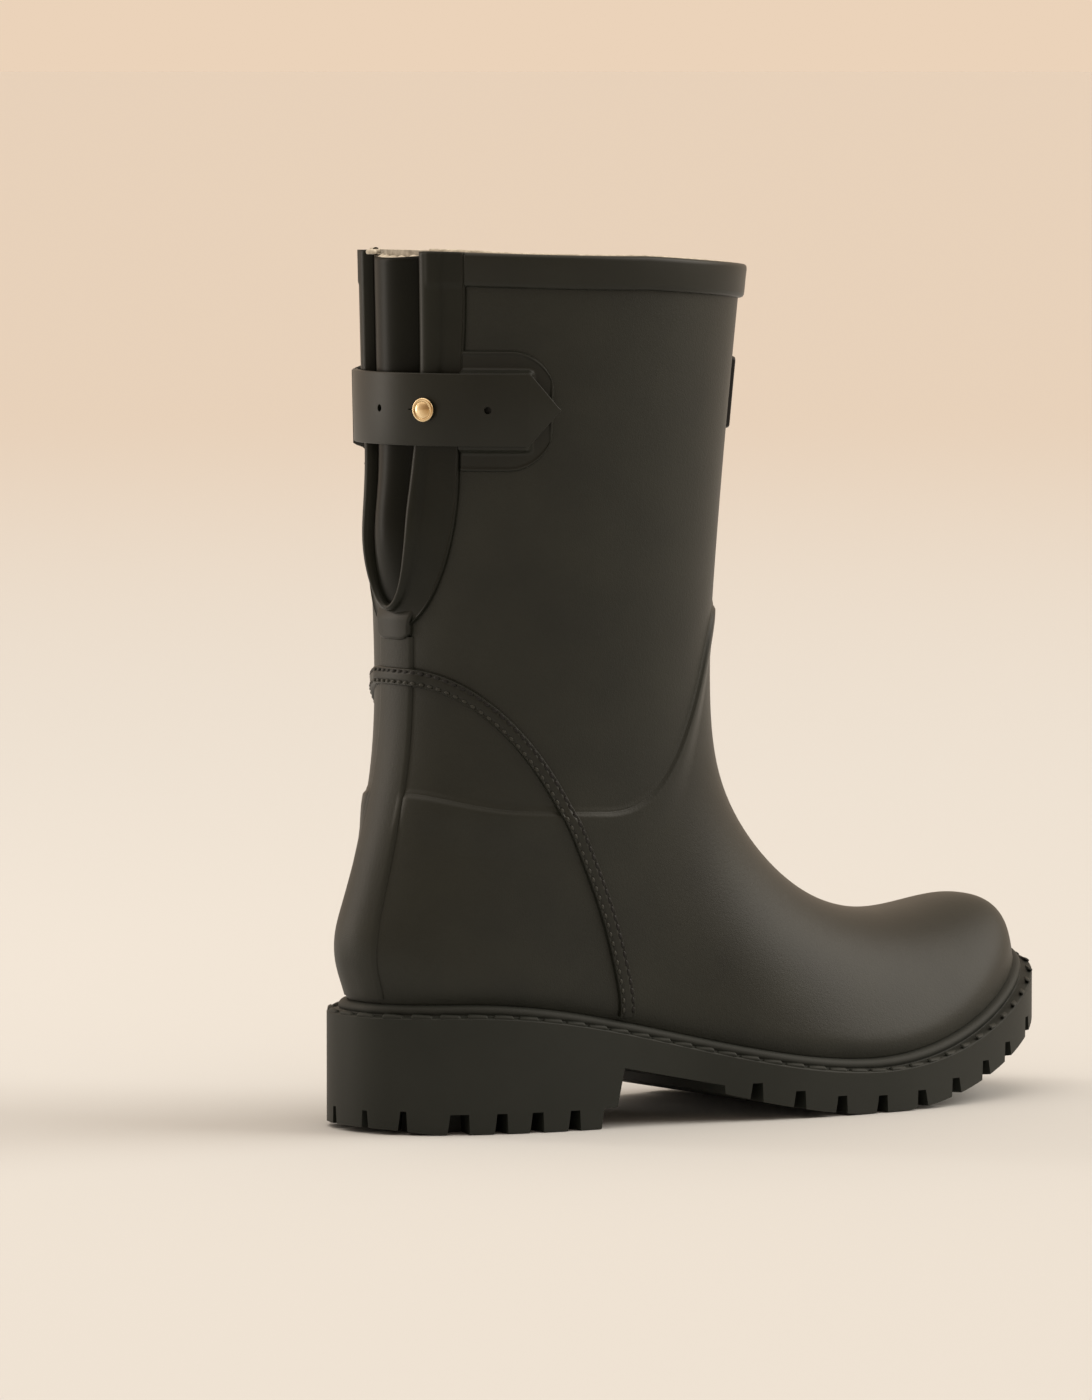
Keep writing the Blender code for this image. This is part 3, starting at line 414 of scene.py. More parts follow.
STUD_METAL = stud_metal()
BOARD = surface("fibre_board", (0.22, 0.17, 0.11), (0.36, 0.29, 0.20), 0.9, ((1200.0, 0.05),), 0.5, 300.0)
FOAM = surface("foam", (0.07, 0.07, 0.065), (0.12, 0.12, 0.11), 0.9, ((3600.0, 0.05),), 0.5, 900.0)
STEEL = surface(
    "steel", (0.45, 0.46, 0.47), (0.62, 0.63, 0.64), 0.35, ((800.0, 0.05),), 0.5, 200.0, metallic=1.0
)

for node_name, material in (
    ("heel_counter", BOARD),
    ("toe_puff", BOARD),
    ("insole_board", BOARD),
    ("sole_filler", FOAM),
    ("heel_core", FOAM),
    ("shank", STEEL),
    ("stud_screw", STEEL),
):
    frame["nodes"][node_name].data.materials.clear()
    frame["nodes"][node_name].data.materials.append(material)


# ---- mesh building

def finish_piece(thing, material, nodes, body="boot"):
    """Gives a piece its material and body, and hides the CAD nodes it stands for."""
    thing.data.materials.append(material)
    thing.data.shade_smooth()
    if body:
        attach(thing, body)
    if nodes:
        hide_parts(*nodes)
    return thing


def raw_mesh(name, points, faces):
    """A mesh object from points in millimetres."""
    mesh = bpy.data.meshes.new(name)
    mesh.from_pydata([tuple(point) for point in np.asarray(points).reshape(-1, 3) * MM], [], faces)
    thing = bpy.data.objects.new(name, mesh)
    bpy.context.scene.collection.objects.link(thing)
    return thing


def grid_faces(rows, columns, closed):
    """Quads between neighbouring rows; closed joins each row's last column to its first."""
    faces = []
    for row in range(rows - 1):
        for column in range(columns if closed else columns - 1):
            after = (column + 1) % columns
            a, b = row * columns + column, row * columns + after
            faces.append((a, a + columns, b + columns, b))
    return faces


def grid_mesh(name, grid, closed=False, flip=False):
    rows, columns = grid.shape[:2]
    faces = grid_faces(rows, columns, closed)
    if flip:
        faces = [face[::-1] for face in faces]
    return raw_mesh(name, grid, faces)


def edit_mesh(thing, weld=0.0, outwards=True):
    """Welds points closer than weld millimetres and turns the faces outwards."""
    solid = bmesh.new()
    solid.from_mesh(thing.data)
    if weld:
        bmesh.ops.remove_doubles(solid, verts=solid.verts[:], dist=weld * MM)
    if outwards:
        bmesh.ops.recalc_face_normals(solid, faces=solid.faces[:])
    solid.to_mesh(thing.data)
    solid.free()


def apply_modifiers(thing):
    bpy.context.view_layer.update()
    graph = bpy.context.evaluated_depsgraph_get()
    made = bpy.data.meshes.new_from_object(thing.evaluated_get(graph))
    thing.modifiers.clear()
    thing.data = made


def stand(thing, centre, rotation):
    thing.rotation_mode = "QUATERNION"
    thing.rotation_quaternion = rotation
    thing.location = centre


def subtract(thing, cutters):
    """Cuts the joined cutters from thing and removes them."""
    cutter = join(cutters, thing.name + "_cut")
    boolean = thing.modifiers.new("cut", "BOOLEAN")
    boolean.operation = "DIFFERENCE"
    boolean.object = cutter
    boolean.use_self = True
    apply_modifiers(thing)
    bpy.data.objects.remove(cutter)


def join(things, name):
    bpy.ops.object.select_all(action="DESELECT")
    for thing in things:
        thing.select_set(True)
    bpy.context.view_layer.objects.active = things[0]
    if len(things) > 1:
        bpy.ops.object.join()
    things[0].name = name
    things[0].data.name = name
    return things[0]


# ---- upper

COLUMNS = 300
ROUND = np.linspace(-math.pi, math.pi, COLUMNS, endpoint=False)
RIM_OUT_INNER = -2.0


def quarter_round(share):
    """Rises in a quarter circle from 0 to 1."""
    return np.sqrt(clamp(1.0 - (1.0 - clamp(share)) ** 2))


def rounded_edge(share, width, radius):
    """1 inside, falling in a quarter circle over radius at the ends of a strip width wide."""
    return quarter_round((1.0 - np.abs(share)) * width / 2.0 / radius)


def edge_spaced(count, bias=0.82):
    """count shares from -1 to 1, closer together at both ends."""
    line = np.linspace(-1.0, 1.0, count)
    return bias * np.sin(line * math.pi / 2.0) + (1.0 - bias) * line


def rows_between(top, bottom, shares):
    return top + (bottom - top) * np.asarray(shares)[:, None]


def leg_upper():
    """The leg's outer layer, open at the rear for the gusset and running under the foot's layer."""
    share = np.linspace(-1.0, 1.0, COLUMNS + 1)[None, :]
    down = np.concatenate([np.linspace(0.0, 0.95, 90), np.linspace(0.955, 1.0, 24)])[:, None]
    t = down * (seam_t(share * math.pi) + 0.012)
    z = skin(math.pi, t)[..., 2]
    opening = (slot_half(z) + 2.0) * smooth(SLOT_FOOT, SLOT_FOOT + 3.5, z)
    theta = share * (math.pi - opening / LEG_RADIUS)
    t = down * (seam_t(theta) + 0.012)
    below = (t - seam_t(theta)) / t_per_millimetre(theta, np.clip(t, 0.01, 0.99))
    out = np.minimum(ridge(theta, t), RIDGE_FOOT) - 0.9 * smooth(-0.2, 1.0, below)
    lip = offset_skin(theta[:1], t[:1], RIM_OUT_INNER)
    thing = grid_mesh("leg_upper", np.concatenate([lip, offset_skin(theta, t, out)]))
    return finish_piece(thing, BOOT_RUBBER, ["leg_skin"])


def foot_upper():
    """The foot's outer layer, whose rolled top edge is the arched seam over the instep."""
    near = np.array([-0.7, -0.4, 0.0, 0.4, 0.8, 1.3, 1.9, 2.6, 3.5, 4.6, 6.0, 8.0, 10.5, 13.5, 17.0])
    top = seam_t(ROUND)
    seam_rows = top + near[:, None] * t_per_millimetre(ROUND, top)
    rest = rows_between(seam_rows[-1], np.ones(COLUMNS), np.linspace(0.0, 1.0, 130)[1:])
    t = np.concatenate([seam_rows, rest])
    tuck = np.concatenate([0.7 * (near < -0.5), np.zeros(len(rest))])[:, None]
    grid = offset_skin(ROUND, t, ridge(ROUND, t) - tuck)
    thing = grid_mesh("foot_upper", grid, closed=True)
    return finish_piece(thing, BOOT_RUBBER, ["foot_skin"])


LINING_OUT = -4.2
FOOTBED_RISE = 6.5


def lining_upper():
    """The knit lining: a light cut edge at the rim and the sock down to the footbed."""
    share = np.linspace(-1.0, 1.0, 241)[None, :]
    rim_theta = share * (math.pi - (slot_half(294.0) + 1.0) / LEG_RADIUS)
    rim = [(-2.02, -0.5), (-2.2, 0.0), (-2.7, 0.30), (-3.3, 0.35), (-3.9, 0.1), (LINING_OUT, -0.4)]
    rows = []
    for out, lift in rim:
        row = offset_skin(rim_theta, 0.0, out)
        row[..., 2] += lift + 0.45 * smooth(2.35, 2.55, np.abs(rim_theta))
        rows.append(row)
    edge = grid_mesh("lining_edge", np.concatenate(rows), flip=True)
    finish_piece(edge, CUT_KNIT, [])
    columns = np.linspace(-math.pi, math.pi, 200, endpoint=False)
    bottom = t_where(columns, skin(columns, 1.0)[:, 2] + FOOTBED_RISE - 0.6, 0.8)
    t = rows_between(np.zeros(200), bottom, np.linspace(0.0, 1.0, 150))
    sock = grid_mesh("lining_sock", offset_skin(columns, t, LINING_OUT), closed=True, flip=True)
    return finish_piece(sock, LINING_KNIT, ["lining"])


def top_of_leg(theta):
    return skin(theta, 0.0)[..., 2]


def rim_band_piece():
    """The band round the rim, between the two ends of the gusset's binding."""
    start = BINDING_EDGE + 1.3
    girth = np.concatenate([np.linspace(start, start + 1.0, 6), np.linspace(start + 1.4, GIRTH[-1], 170)])
    girth = np.concatenate([girth, -girth[-2::-1]])
    theta = theta_of(girth)
    rise = rounded_edge(clamp(1.0 - (np.abs(girth) - start) / 5.0), 10.0, 0.9)
    profile = [
        (-2.0, 0.0), (0.4, 0.02), (1.1, -0.10), (1.65, -0.45), (1.95, -1.0), (2.05, -1.8),
        (2.0, -5.0), (2.0, -9.7), (1.9, -10.6), (1.5, -11.2), (0.8, -11.5), (-0.4, -11.6),
    ]
    top = top_of_leg(theta)
    rows = []
    for out, drop in profile:
        proud = np.where(out > 0.0, (out + 0.4) * rise - 0.4, out)
        row = offset_skin(theta, t_where(theta, top + min(drop, -0.01)), proud)
        row[..., 2] = top + drop
        rows.append(row)
    thing = grid_mesh("rim_band_moulding", np.array(rows))
    return finish_piece(thing, TRIM_RUBBER, ["rim_band"])


# ---- gusset and binding

GUSSET_TOP = 296.0
BINDING_EDGE = 31.0
BINDING_BEND = 223.0


def gusset_out(share, z):
    """Outward position of the gusset across its width: a full roll between two valleys."""
    fold = smooth(179.0, 212.0, z)
    share = np.abs(share)
    valley = -4.2 * smooth(1.0, 0.86, share)
    inside = clamp(1.0 - (share / 0.86) ** 2) ** 0.62
    return -0.3 + fold * (valley + 6.6 * inside) + rear_bulge(z)


def gusset_piece():
    """The rubber roll in the slot, cut off square at the rim."""
    share = np.sin(np.linspace(-0.5, 0.5, 81) * math.pi)[None, :]
    foot = SLOT_FOOT + 0.1
    z = foot + (GUSSET_TOP - foot) * np.linspace(1.0, 0.0, 100)[:, None] ** 1.2
    girth = (slot_half(z) + 1.2) * share
    out = gusset_out(share, z)
    grid = around(girth, z, out)
    grid[..., 2] -= 0.9 * (1.0 - share**2) * smooth(270.0, GUSSET_TOP, z)
    lip = grid[:1].copy()
    lip[..., :2] = around(girth[:1], z[:1], out[:1] - 1.3)[..., :2]
    thing = grid_mesh("gusset_roll", np.concatenate([lip, grid]))
    # The roll's darker rubber is painted shade.
    return finish_piece(thing, SHADED_ROLL_RUBBER, ["gusset_bellows"])


def gusset_knit():
    """The folded knit inside the roll: its cut edge on top and its inner face below."""
    share = np.linspace(-1.0, 1.0, 61)[None, :]
    front = gusset_out(share, GUSSET_TOP) - 1.25
    back = -6.4 + 2.2 * np.abs(share) ** 4
    rows = []
    for step in np.linspace(0.0, 1.0, 9):
        girth = (slot_half(GUSSET_TOP) + 0.4) * share
        row = around(girth, GUSSET_TOP, front + (back - front) * step)
        crown = math.sin(math.pi * step)
        loops = 0.35 * np.sin(share * 19.0 + step * 7.0) * crown
        row[..., 2] += -0.9 * (1.0 - share**2) - 0.1 + 0.35 * crown + loops
        rows.append(row)
    cap = grid_mesh("gusset_knit_edge", np.concatenate(rows), flip=True)
    finish_piece(cap, CUT_KNIT, [])
    z = np.linspace(GUSSET_TOP - 1.2, SLOT_FOOT + 0.5, 60)[:, None]
    out = back * smooth(178.0, 205.0, z) - 3.0 * smooth(205.0, 178.0, z)
    sheet = grid_mesh("gusset_knit_back", around((slot_half(z) + 2.6) * share, z, out), flip=True)
    return finish_piece(sheet, LINING_KNIT, ["gusset_lining"])


def knit_curl(name, girth, out, radius):
    """A curl of the folded knit that shows at the top of the gusset's medial fold."""
    turn = np.linspace(0.0, 2.0 * math.pi, 33)[:-1, None]
    tube = np.linspace(0.0, 2.0 * math.pi, 13)[None, :-1]
    reach = radius + 0.55 * np.cos(tube)
    x, y, z = around(girth, GUSSET_TOP, out)
    height = z + 0.75 + 0.8 * np.sin(tube)
    points = stack(x + reach * np.cos(turn), y + 0.8 * reach * np.sin(turn), height)
    thing = grid_mesh(name, np.concatenate([points, points[:1]]), closed=True)
    edit_mesh(thing, weld=0.001)
    return finish_piece(thing, CUT_KNIT, [])


def binding_edges(count):
    """(girth, z) of the binding's inner and outer edges, down one side and up the other."""
    turn = np.linspace(0.0, 0.5, count) * math.pi
    level = np.linspace(297.3, BINDING_BEND, count + 20)[:-1]
    outer_z = np.concatenate([level, BINDING_BEND - 54.4 * np.sin(turn)])
    curve = BINDING_EDGE * np.maximum(np.cos(turn), 0.0) ** 0.9
    outer = np.concatenate([BINDING_EDGE + 2.2 * smooth(225.0, 285.0, level), curve])
    inner_z = np.concatenate([level, BINDING_BEND - 45.0 * np.sin(turn)])
    edges = []
    for girth, z in ((slot_half(inner_z), inner_z), (outer, outer_z)):
        edges.append((np.concatenate([-girth, girth[-2::-1]]), np.concatenate([z, z[-2::-1]])))
    return edges


def binding_height(share, ridge_share):
    """The binding's section from the slot to its outer edge: a round band, a flat panel, a thin rim."""
    band = clamp(share / ridge_share)
    rounded = 3.1 * np.sqrt(clamp(1.0 - (2.0 * band - 0.98) ** 2))
    panel = 0.70 - 0.20 * np.sin(math.pi * clamp((share - ridge_share) / (1.0 - ridge_share)))
    height = np.where(share < ridge_share, np.maximum(rounded, 0.70), panel)
    edge = 0.70 * bump(0.955, 0.022, share)
    drop = 1.7 * smooth(0.980, 1.0, share)
    return height + edge - drop - 2.6 * smooth(0.04, 0.0, share)


def binding_piece():
    """The moulded binding of the slot, standing a little over the rim band."""
    (inner_girth, inner_z), (outer_girth, outer_z) = binding_edges(50)
    runs = [np.linspace(0.0, 0.06, 4)[:-1], np.linspace(0.06, 0.93, 34), np.linspace(0.94, 1.0, 9)]
    share = np.concatenate(runs)[:, None]
    girth = inner_girth + (outer_girth - inner_girth) * share
    z = inner_z + (outer_z - inner_z) * share
    ridge_share = (0.30 + 0.24 * smooth(230.0, 258.0, inner_z))[None, :]
    height = binding_height(share, ridge_share) * np.where(girth < 0.0, 0.78, 1.0)
    height = height + rear_bulge(z) * (1.0 - share) ** 1.3
    step = smooth(0.2, 0.3, share) * smooth(1.0, 0.97, share)
    height = height + 0.30 * smooth(285.4, 286.4, z) * step
    theta = theta_of(girth)
    top = top_of_leg(theta)
    level = t_where(theta, np.minimum(z, top - 0.02))
    grid = offset_skin(theta, level, height)
    grid[..., 2] = np.where(z > 287.0, np.minimum(z, top), grid[..., 2])
    ends = offset_skin(theta[:, [0, -1]], level[:, [0, -1]], RIM_OUT_INNER)
    ends[..., 2] = grid[:, [0, -1], 2]
    grid = np.concatenate([ends[:, :1], grid, ends[:, 1:]], axis=1)
    thing = grid_mesh("gusset_binding_moulding", grid)
    # The binding's colour is partly painted shade.
    return finish_piece(thing, BINDING_RUBBER_PART_SHADED, ["gusset_binding"])


def tab_piece():
    """The tab that grows out of the foot of the binding."""
    across = edge_spaced(41)[None, :]
    down = edge_spaced(37)[:, None]
    girth = across * (12.4 - 2.2 * smooth(-1.0, 0.3, down))
    corner = 2.4 * clamp((np.abs(across) - 0.45) / 0.55) ** 2.4
    z = 171.8 - down * 6.2 + corner * smooth(0.0, 1.0, down)
    rounded = rounded_edge(across, 20.0, 1.2) * rounded_edge(np.maximum(down, 0.0), 12.4, 1.2)
    height = 2.2 * rounded - 0.25 - 1.6 * smooth(-0.15, -1.0, down)
    thing = grid_mesh("gusset_tab_moulding", around(girth, z, height))
    return finish_piece(thing, TRIM_RUBBER, ["gusset_tab"])


def backstay_piece():
    """The strip down the rear seam, with rounded edges."""
    across = edge_spaced(45)[None, :]
    z = np.linspace(167.0, 45.2, 150)[:, None]
    half = 10.9 + 3.0 * smooth(150.0, 75.0, z) - 3.8 * smooth(70.0, 45.0, z)
    theta = theta_of(across * half)
    t = t_where(theta, z)
    height = 1.15 * rounded_edge(across, 23.0, 1.9) - 0.25 + 0.25 * (1.0 - across**2)
    thing = grid_mesh("backstay_moulding", offset_skin(theta, t, height + ridge(theta, t)))
    return finish_piece(thing, BOOT_RUBBER, ["backstay"])


# ---- counter trim

TRIM_HALF_WIDTH = 3.1


def theta_at(x, z):
    """The angle on the lateral side where the skin at height z has this x."""
    angles = np.linspace(0.45, 1.0, 241) * math.pi
    found = np.empty(len(x))
    for index, (wanted_x, wanted_z) in enumerate(zip(x, z)):
        across = skin(angles, t_where(angles, wanted_z))[:, 0]
        found[index] = np.interp(-wanted_x, -across, angles)
    return -found


def trim_line(shift, count):
    """(x, z) along the lateral side of the trim, shift millimetres from its middle."""
    turn = np.radians(np.linspace(2.0, 88.6, count))
    power = 2.0 / 1.4
    x = -121.0 + (67.0 + shift) * np.sin(turn) ** power
    z = 37.0 + (116.5 + shift) * np.cos(turn) ** power
    return x, np.maximum(z, seat_height(x) - 0.5)


def trim_row(shift, count):
    """(theta, t) along the trim, from the lateral seat over the rear to the medial seat."""
    x, z = trim_line(shift, count)
    lateral = theta_at(x, z)
    t = t_where(lateral, z)
    rear_t = t_where(np.array([math.pi]), 153.5 + shift)
    theta = np.concatenate([lateral[::-1], [-math.pi], -lateral - 2.0 * math.pi])
    return theta, np.concatenate([t[::-1], rear_t, t])


TRIM_LINES = [trim_row(TRIM_HALF_WIDTH * share, 110) for share in (-1.0, 0.0, 1.0)]
TRIM_THETA, TRIM_T = np.moveaxis(np.array(TRIM_LINES), 1, 0)


def trim_at(share):
    """theta, t at shares across the trim (rows) all along it (columns)."""
    share = np.asarray(share)[:, None]
    low, mid, high = 0.5 * share * (share - 1.0), 1.0 - share**2, 0.5 * share * (share + 1.0)
    return [low * lines[0] + mid * lines[1] + high * lines[2] for lines in (TRIM_THETA, TRIM_T)]


def trim_lift(theta, t):
    """The trim rises where it crosses the strip down the rear and the arched seam."""
    return 0.9 * smooth(17.5, 13.5, rear_turn(theta)) + ridge(theta, t)


def trim_height(share):
    body = 1.75 * rounded_edge(share, 6.2, 0.8) - 0.25
    return body - 0.42 * bump(0.60, 0.16, np.abs(share))


def trim_piece():
    """The raised trim over the heel quarter, with a channel under each row of stitches."""
    share = edge_spaced(29)
    theta, t = trim_at(share)
    out = trim_height(share)[:, None] + trim_lift(theta, t)
    thing = grid_mesh("counter_trim_moulding", offset_skin(theta, t, out), flip=True)
    return finish_piece(thing, TRIM_RUBBER, ["counter_trim"])


def along_line(points, pitch, margin):
    """Fractional indices of places a pitch apart along a polyline."""
    lengths = run_lengths(points)
    places = np.arange(margin, lengths[-1] - margin, pitch)
    return np.interp(places, lengths, np.arange(len(points)))


def read_at(where, rows):
    """The rows read at fractional indices."""
    return np.column_stack([np.interp(where, np.arange(len(rows)), column) for column in rows.T])


def lozenge(length, width, height, segments=10, rings=5):
    """Points and faces of a stitch: half an ellipsoid, longest along X, on the plane z = 0."""
    lift = np.linspace(0.0, math.pi / 2.0, rings)[:, None]
    turn = np.linspace(0.0, 2.0 * math.pi, segments, endpoint=False)
    reach = 0.5 * np.cos(lift) ** 0.7
    points = stack(length * reach * np.cos(turn), width * reach * np.sin(turn), height * np.sin(lift))
    faces = [(a, d, c, b) for a, b, c, d in grid_faces(rings, segments, True)]
    return points.reshape(-1, 3), faces


def scatter(name, shape, bases, tangents, normals, material):
    """One mesh with a copy of shape at every base point, along its tangent and normal."""
    points, faces = shape
    all_points, all_faces = [], []
    for base, tangent, normal in zip(bases, tangents, normals):
        side = unit(np.cross(normal, tangent))
        ahead = unit(np.cross(side, normal))
        start = len(all_points) * len(points)
        all_points.append(points @ np.array([ahead, side, normal]) + base)
        all_faces += [tuple(index + start for index in face) for face in faces]
    thing = raw_mesh(name, np.concatenate(all_points), all_faces)
    edit_mesh(thing, weld=0.002, outwards=False)
    return finish_piece(thing, material, [])


def trim_stitches(name, share, size, pitch, sink, material):
    """A row of stitches of (length, width, height) size along the trim."""
    (theta,), (t,) = trim_at([share])
    line = offset_skin(theta, t, trim_height(share) + trim_lift(theta, t) - sink)
    where = along_line(line, pitch, 2.5)
    tangents = unit(read_at(where, np.gradient(line, axis=0)))
    normals = unit(read_at(where, skin_normal(theta, t)))
    bases = read_at(where, line)
    return scatter(name, lozenge(*size), bases, tangents, normals, material)


# ---- patches, badge, strap

PATCH_REAR = 31.0
PATCH_FRONT = 62.6
PATCH_HALF = 20.4
PATCH_CORNER = 15.0
POCKET_FRONT = 54.5
POCKET_HALF = 13.0
BADGE_WIDTH = 49.0
BADGE_HEIGHT = 25.0


def pocket(girth, z, top):
    """The raised pocket of a patch: flat on top, with soft sides, open towards the rear."""
    side = smooth(POCKET_HALF + 1.5, POCKET_HALF - 0.6, np.abs(z))
    return top * side * smooth(POCKET_FRONT + 1.8, POCKET_FRONT - 1.2, girth)


def patch_piece(name, side, top, node):
    """A D-shaped patch with a thin raised rim and a pocket."""
    reach = np.linspace(0.0, 1.0, 71)[None, :]
    girth = PATCH_REAR + (PATCH_FRONT - PATCH_REAR) * (1.0 - (1.0 - reach) ** 1.5)
    share = edge_spaced(61, 0.7)[:, None]
    past = clamp((girth - (PATCH_FRONT - PATCH_CORNER)) / PATCH_CORNER)
    half = PATCH_HALF - PATCH_CORNER + PATCH_CORNER * np.sqrt(clamp(1.0 - past**2)) + 0.05
    z = share * half
    border = np.maximum(np.minimum((1.0 - np.abs(share)) * half, PATCH_FRONT - girth), 0.0)
    height = 1.35 * quarter_round(border / 0.7) - 0.2 + 0.30 * bump(0.9, 0.45, border)
    height = height + pocket(girth, z, top)
    rear = smooth(PATCH_REAR, PATCH_REAR + 0.7, girth)
    height = height * rear - 0.05 * (1.0 - rear)
    thing = grid_mesh(name, around(girth * side, STRAP_HEIGHT - 0.7 - z, height), flip=side < 0.0)
    return finish_piece(thing, TRIM_RUBBER, [node])


def badge_piece():
    """The blank badge on the shin, a rounded rectangle with soft edges."""
    across = edge_spaced(61)[None, :]
    up = edge_spaced(41)[:, None]
    corner = 0.10 * clamp((np.abs(across) - 0.86) / 0.14) ** 2.4
    girth = GIRTH[-1] + across * BADGE_WIDTH / 2.0
    girth = np.where(girth > GIRTH[-1], girth - 2.0 * GIRTH[-1], girth)
    z = 248.0 - up * BADGE_HEIGHT / 2.0 * (1.0 - corner)
    rounded = rounded_edge(across, BADGE_WIDTH, 0.5) * rounded_edge(up, BADGE_HEIGHT, 0.5)
    height = 1.95 * rounded - 0.15
    height = height + 0.22 * bump(0.90, 0.018, np.abs(across)) * (np.abs(up) < 0.88)
    thing = grid_mesh("front_badge", around(girth, z, height))
    return finish_piece(thing, BADGE_RUBBER, ["front_label"])


UNDER_LAYER_OUT = 2.5
STRAP_THICKNESS = 2.1
STRAP_ROUNDING = 0.42
STRAP_CORNERS = (
    (1.0, STRAP_THICKNESS - STRAP_ROUNDING),
    (-1.0, STRAP_THICKNESS - STRAP_ROUNDING),
    (-1.0, STRAP_ROUNDING),
    (1.0, STRAP_ROUNDING),
)
BEND_REACH = 3.5
STUD_TAB_REAR = 13.0


def strap_out(girth):
    """The strap's inner face along its length."""
    return UNDER_LAYER_OUT + 0.1 + 2.9 * smooth(-30.0, 27.0, girth)


def strap_half(girth):
    """Half the strap's width, down to its rounded tip."""
    past = clamp((girth - SHOULDER) / (STRAP_TIP - SHOULDER))
    straight = STRAP_WIDTH / 2.0 * (1.0 - past)
    rounded = np.sqrt(clamp((STRAP_TIP - girth) / 1.6)) * 1.3
    return np.where(past > 0.0, np.maximum(straight, rounded), STRAP_WIDTH / 2.0)


def strap_loop(girth):
    """The outline of the strap's section at one girth, as (height, distance out) points."""
    half = float(strap_half(girth))
    base = float(strap_out(girth))
    loop = []
    for quarter, (side, depth) in enumerate(STRAP_CORNERS):
        for degrees in (0.0, 30.0, 60.0, 90.0):
            turn = math.radians(90.0 * quarter + degrees)
            across = STRAP_ROUNDING * math.cos(turn)
            if half > STRAP_ROUNDING:
                across += side * (half - STRAP_ROUNDING)
            else:
                across = across * half / STRAP_ROUNDING
            loop.append((across, base + depth + STRAP_ROUNDING * math.sin(turn)))
    return np.array(loop)


def strap_piece(name, start, end, hinge, nodes):
    """A closed length of strap with its holes and slit cut; it is not bent at its hinge."""
    girth = np.linspace(start, end, int((end - start) / 0.55))
    if end > SHOULDER:
        tail = STRAP_TIP - 1.8 * (1.0 - np.sqrt(np.linspace(0.0, 1.0, 9)))
        girth = np.unique(np.concatenate([girth[girth < STRAP_TIP - 2.0], [SHOULDER], tail]))
        girth[-1] = STRAP_TIP - 0.01
    rings = np.array([strap_loop(value) for value in girth])
    count, columns = rings.shape[:2]
    faces = grid_faces(count, columns, True)
    faces.append(tuple(range(columns)))
    faces.append(tuple(range((count - 1) * columns, count * columns))[::-1])
    points = around(girth[:, None], STRAP_HEIGHT + rings[..., 0], rings[..., 1])
    thing = raw_mesh(name, points, faces)
    edit_mesh(thing, weld=0.0005)
    cutters = [axis_rod(place, radius) for place, radius in STRAP_HOLES if start < place < end]
    if start < SLIT_GIRTH < end:
        cutters.append(slit_box())
    if cutters:
        subtract(thing, cutters)
    thing.data.materials.clear()
    near, far = [axis_frame(hinge + reach)[0] for reach in (-BEND_REACH, BEND_REACH)]
    tuple(near)
    tuple(far)
    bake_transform(thing)
    finish_piece(thing, TRIM_RUBBER, nodes, body=None)
    thing.data.set_sharp_from_angle(angle=math.radians(50.0))
    return thing


def axis_frame(girth):
    """The middle of the strap at a girth, in metres, and its outward normal."""
    centre = Vector(around(girth, STRAP_HEIGHT, strap_out(girth) + 1.0)) * MM
    inside = Vector(around(girth, STRAP_HEIGHT, 0.0)) * MM
    return centre, (centre - inside).normalized()


def axis_rod(girth, radius):
    """A round cutter through the strap."""
    centre, normal = axis_frame(girth)
    bpy.ops.mesh.primitive_cylinder_add(vertices=40, radius=radius * MM, depth=8.0 * MM)
    rod = bpy.context.active_object
    stand(rod, centre, normal.to_track_quat("Z", "Y"))
    return rod


SLIT_GIRTH = STUD_GIRTH - 3.9
STRAP_HOLES = ((STUD_GIRTH - HOLE_PITCH, 1.25), (STUD_GIRTH, 1.9), (STUD_GIRTH + HOLE_PITCH, 1.25))


def slit_box():
    """The cutter of the slit that lets the stud through the strap's hole."""
    centre, normal = axis_frame(SLIT_GIRTH)
    bpy.ops.mesh.primitive_cube_add(size=1.0)
    box = bpy.context.active_object
    box.scale = (5.4 * MM, 0.35 * MM, 8.0 * MM)
    across = Vector((0.0, 0.0, 1.0)).cross(normal).normalized()
    up = normal.cross(across).normalized()
    stand(box, centre, Matrix((across, up, normal)).transposed().to_quaternion())
    return box


def lathe(name, profile):
    """A turned mesh about Z from (radius, height) points in millimetres."""
    radius, height = np.array(profile).T[..., None]
    turn = np.linspace(0.0, 2.0 * math.pi, 64, endpoint=False)
    points = stack(radius * np.cos(turn), radius * np.sin(turn), height)
    thing = grid_mesh(name, points, closed=True)
    edit_mesh(thing, weld=0.001)
    return thing


def stud_piece():
    """The stud: a low dome inside a rounded rim, on a waisted neck."""
    base = strap_out(STUD_GIRTH) + STRAP_THICKNESS
    dome = [(radius, 2.75 - 0.95 * (radius / 3.1) ** 2) for radius in np.linspace(0.0, 3.0, 9)]
    turns = np.radians(np.linspace(-55, 170, 15))
    rim = [(3.45 + 0.62 * math.sin(turn), 1.55 + 0.62 * math.cos(turn)) for turn in turns]
    neck = [(3.2, 0.75), (2.0, 0.55), (1.7, 0.2), (1.65, -1.5), (1.7, -3.4)]
    thing = lathe("stud_head", dome + rim + neck)
    centre = Vector(around(STUD_GIRTH, STRAP_HEIGHT, base)) * MM
    stand(thing, centre, axis_frame(STUD_GIRTH)[1].to_track_quat("Z", "Y"))
    return finish_piece(thing, STUD_METAL, ["stud"])


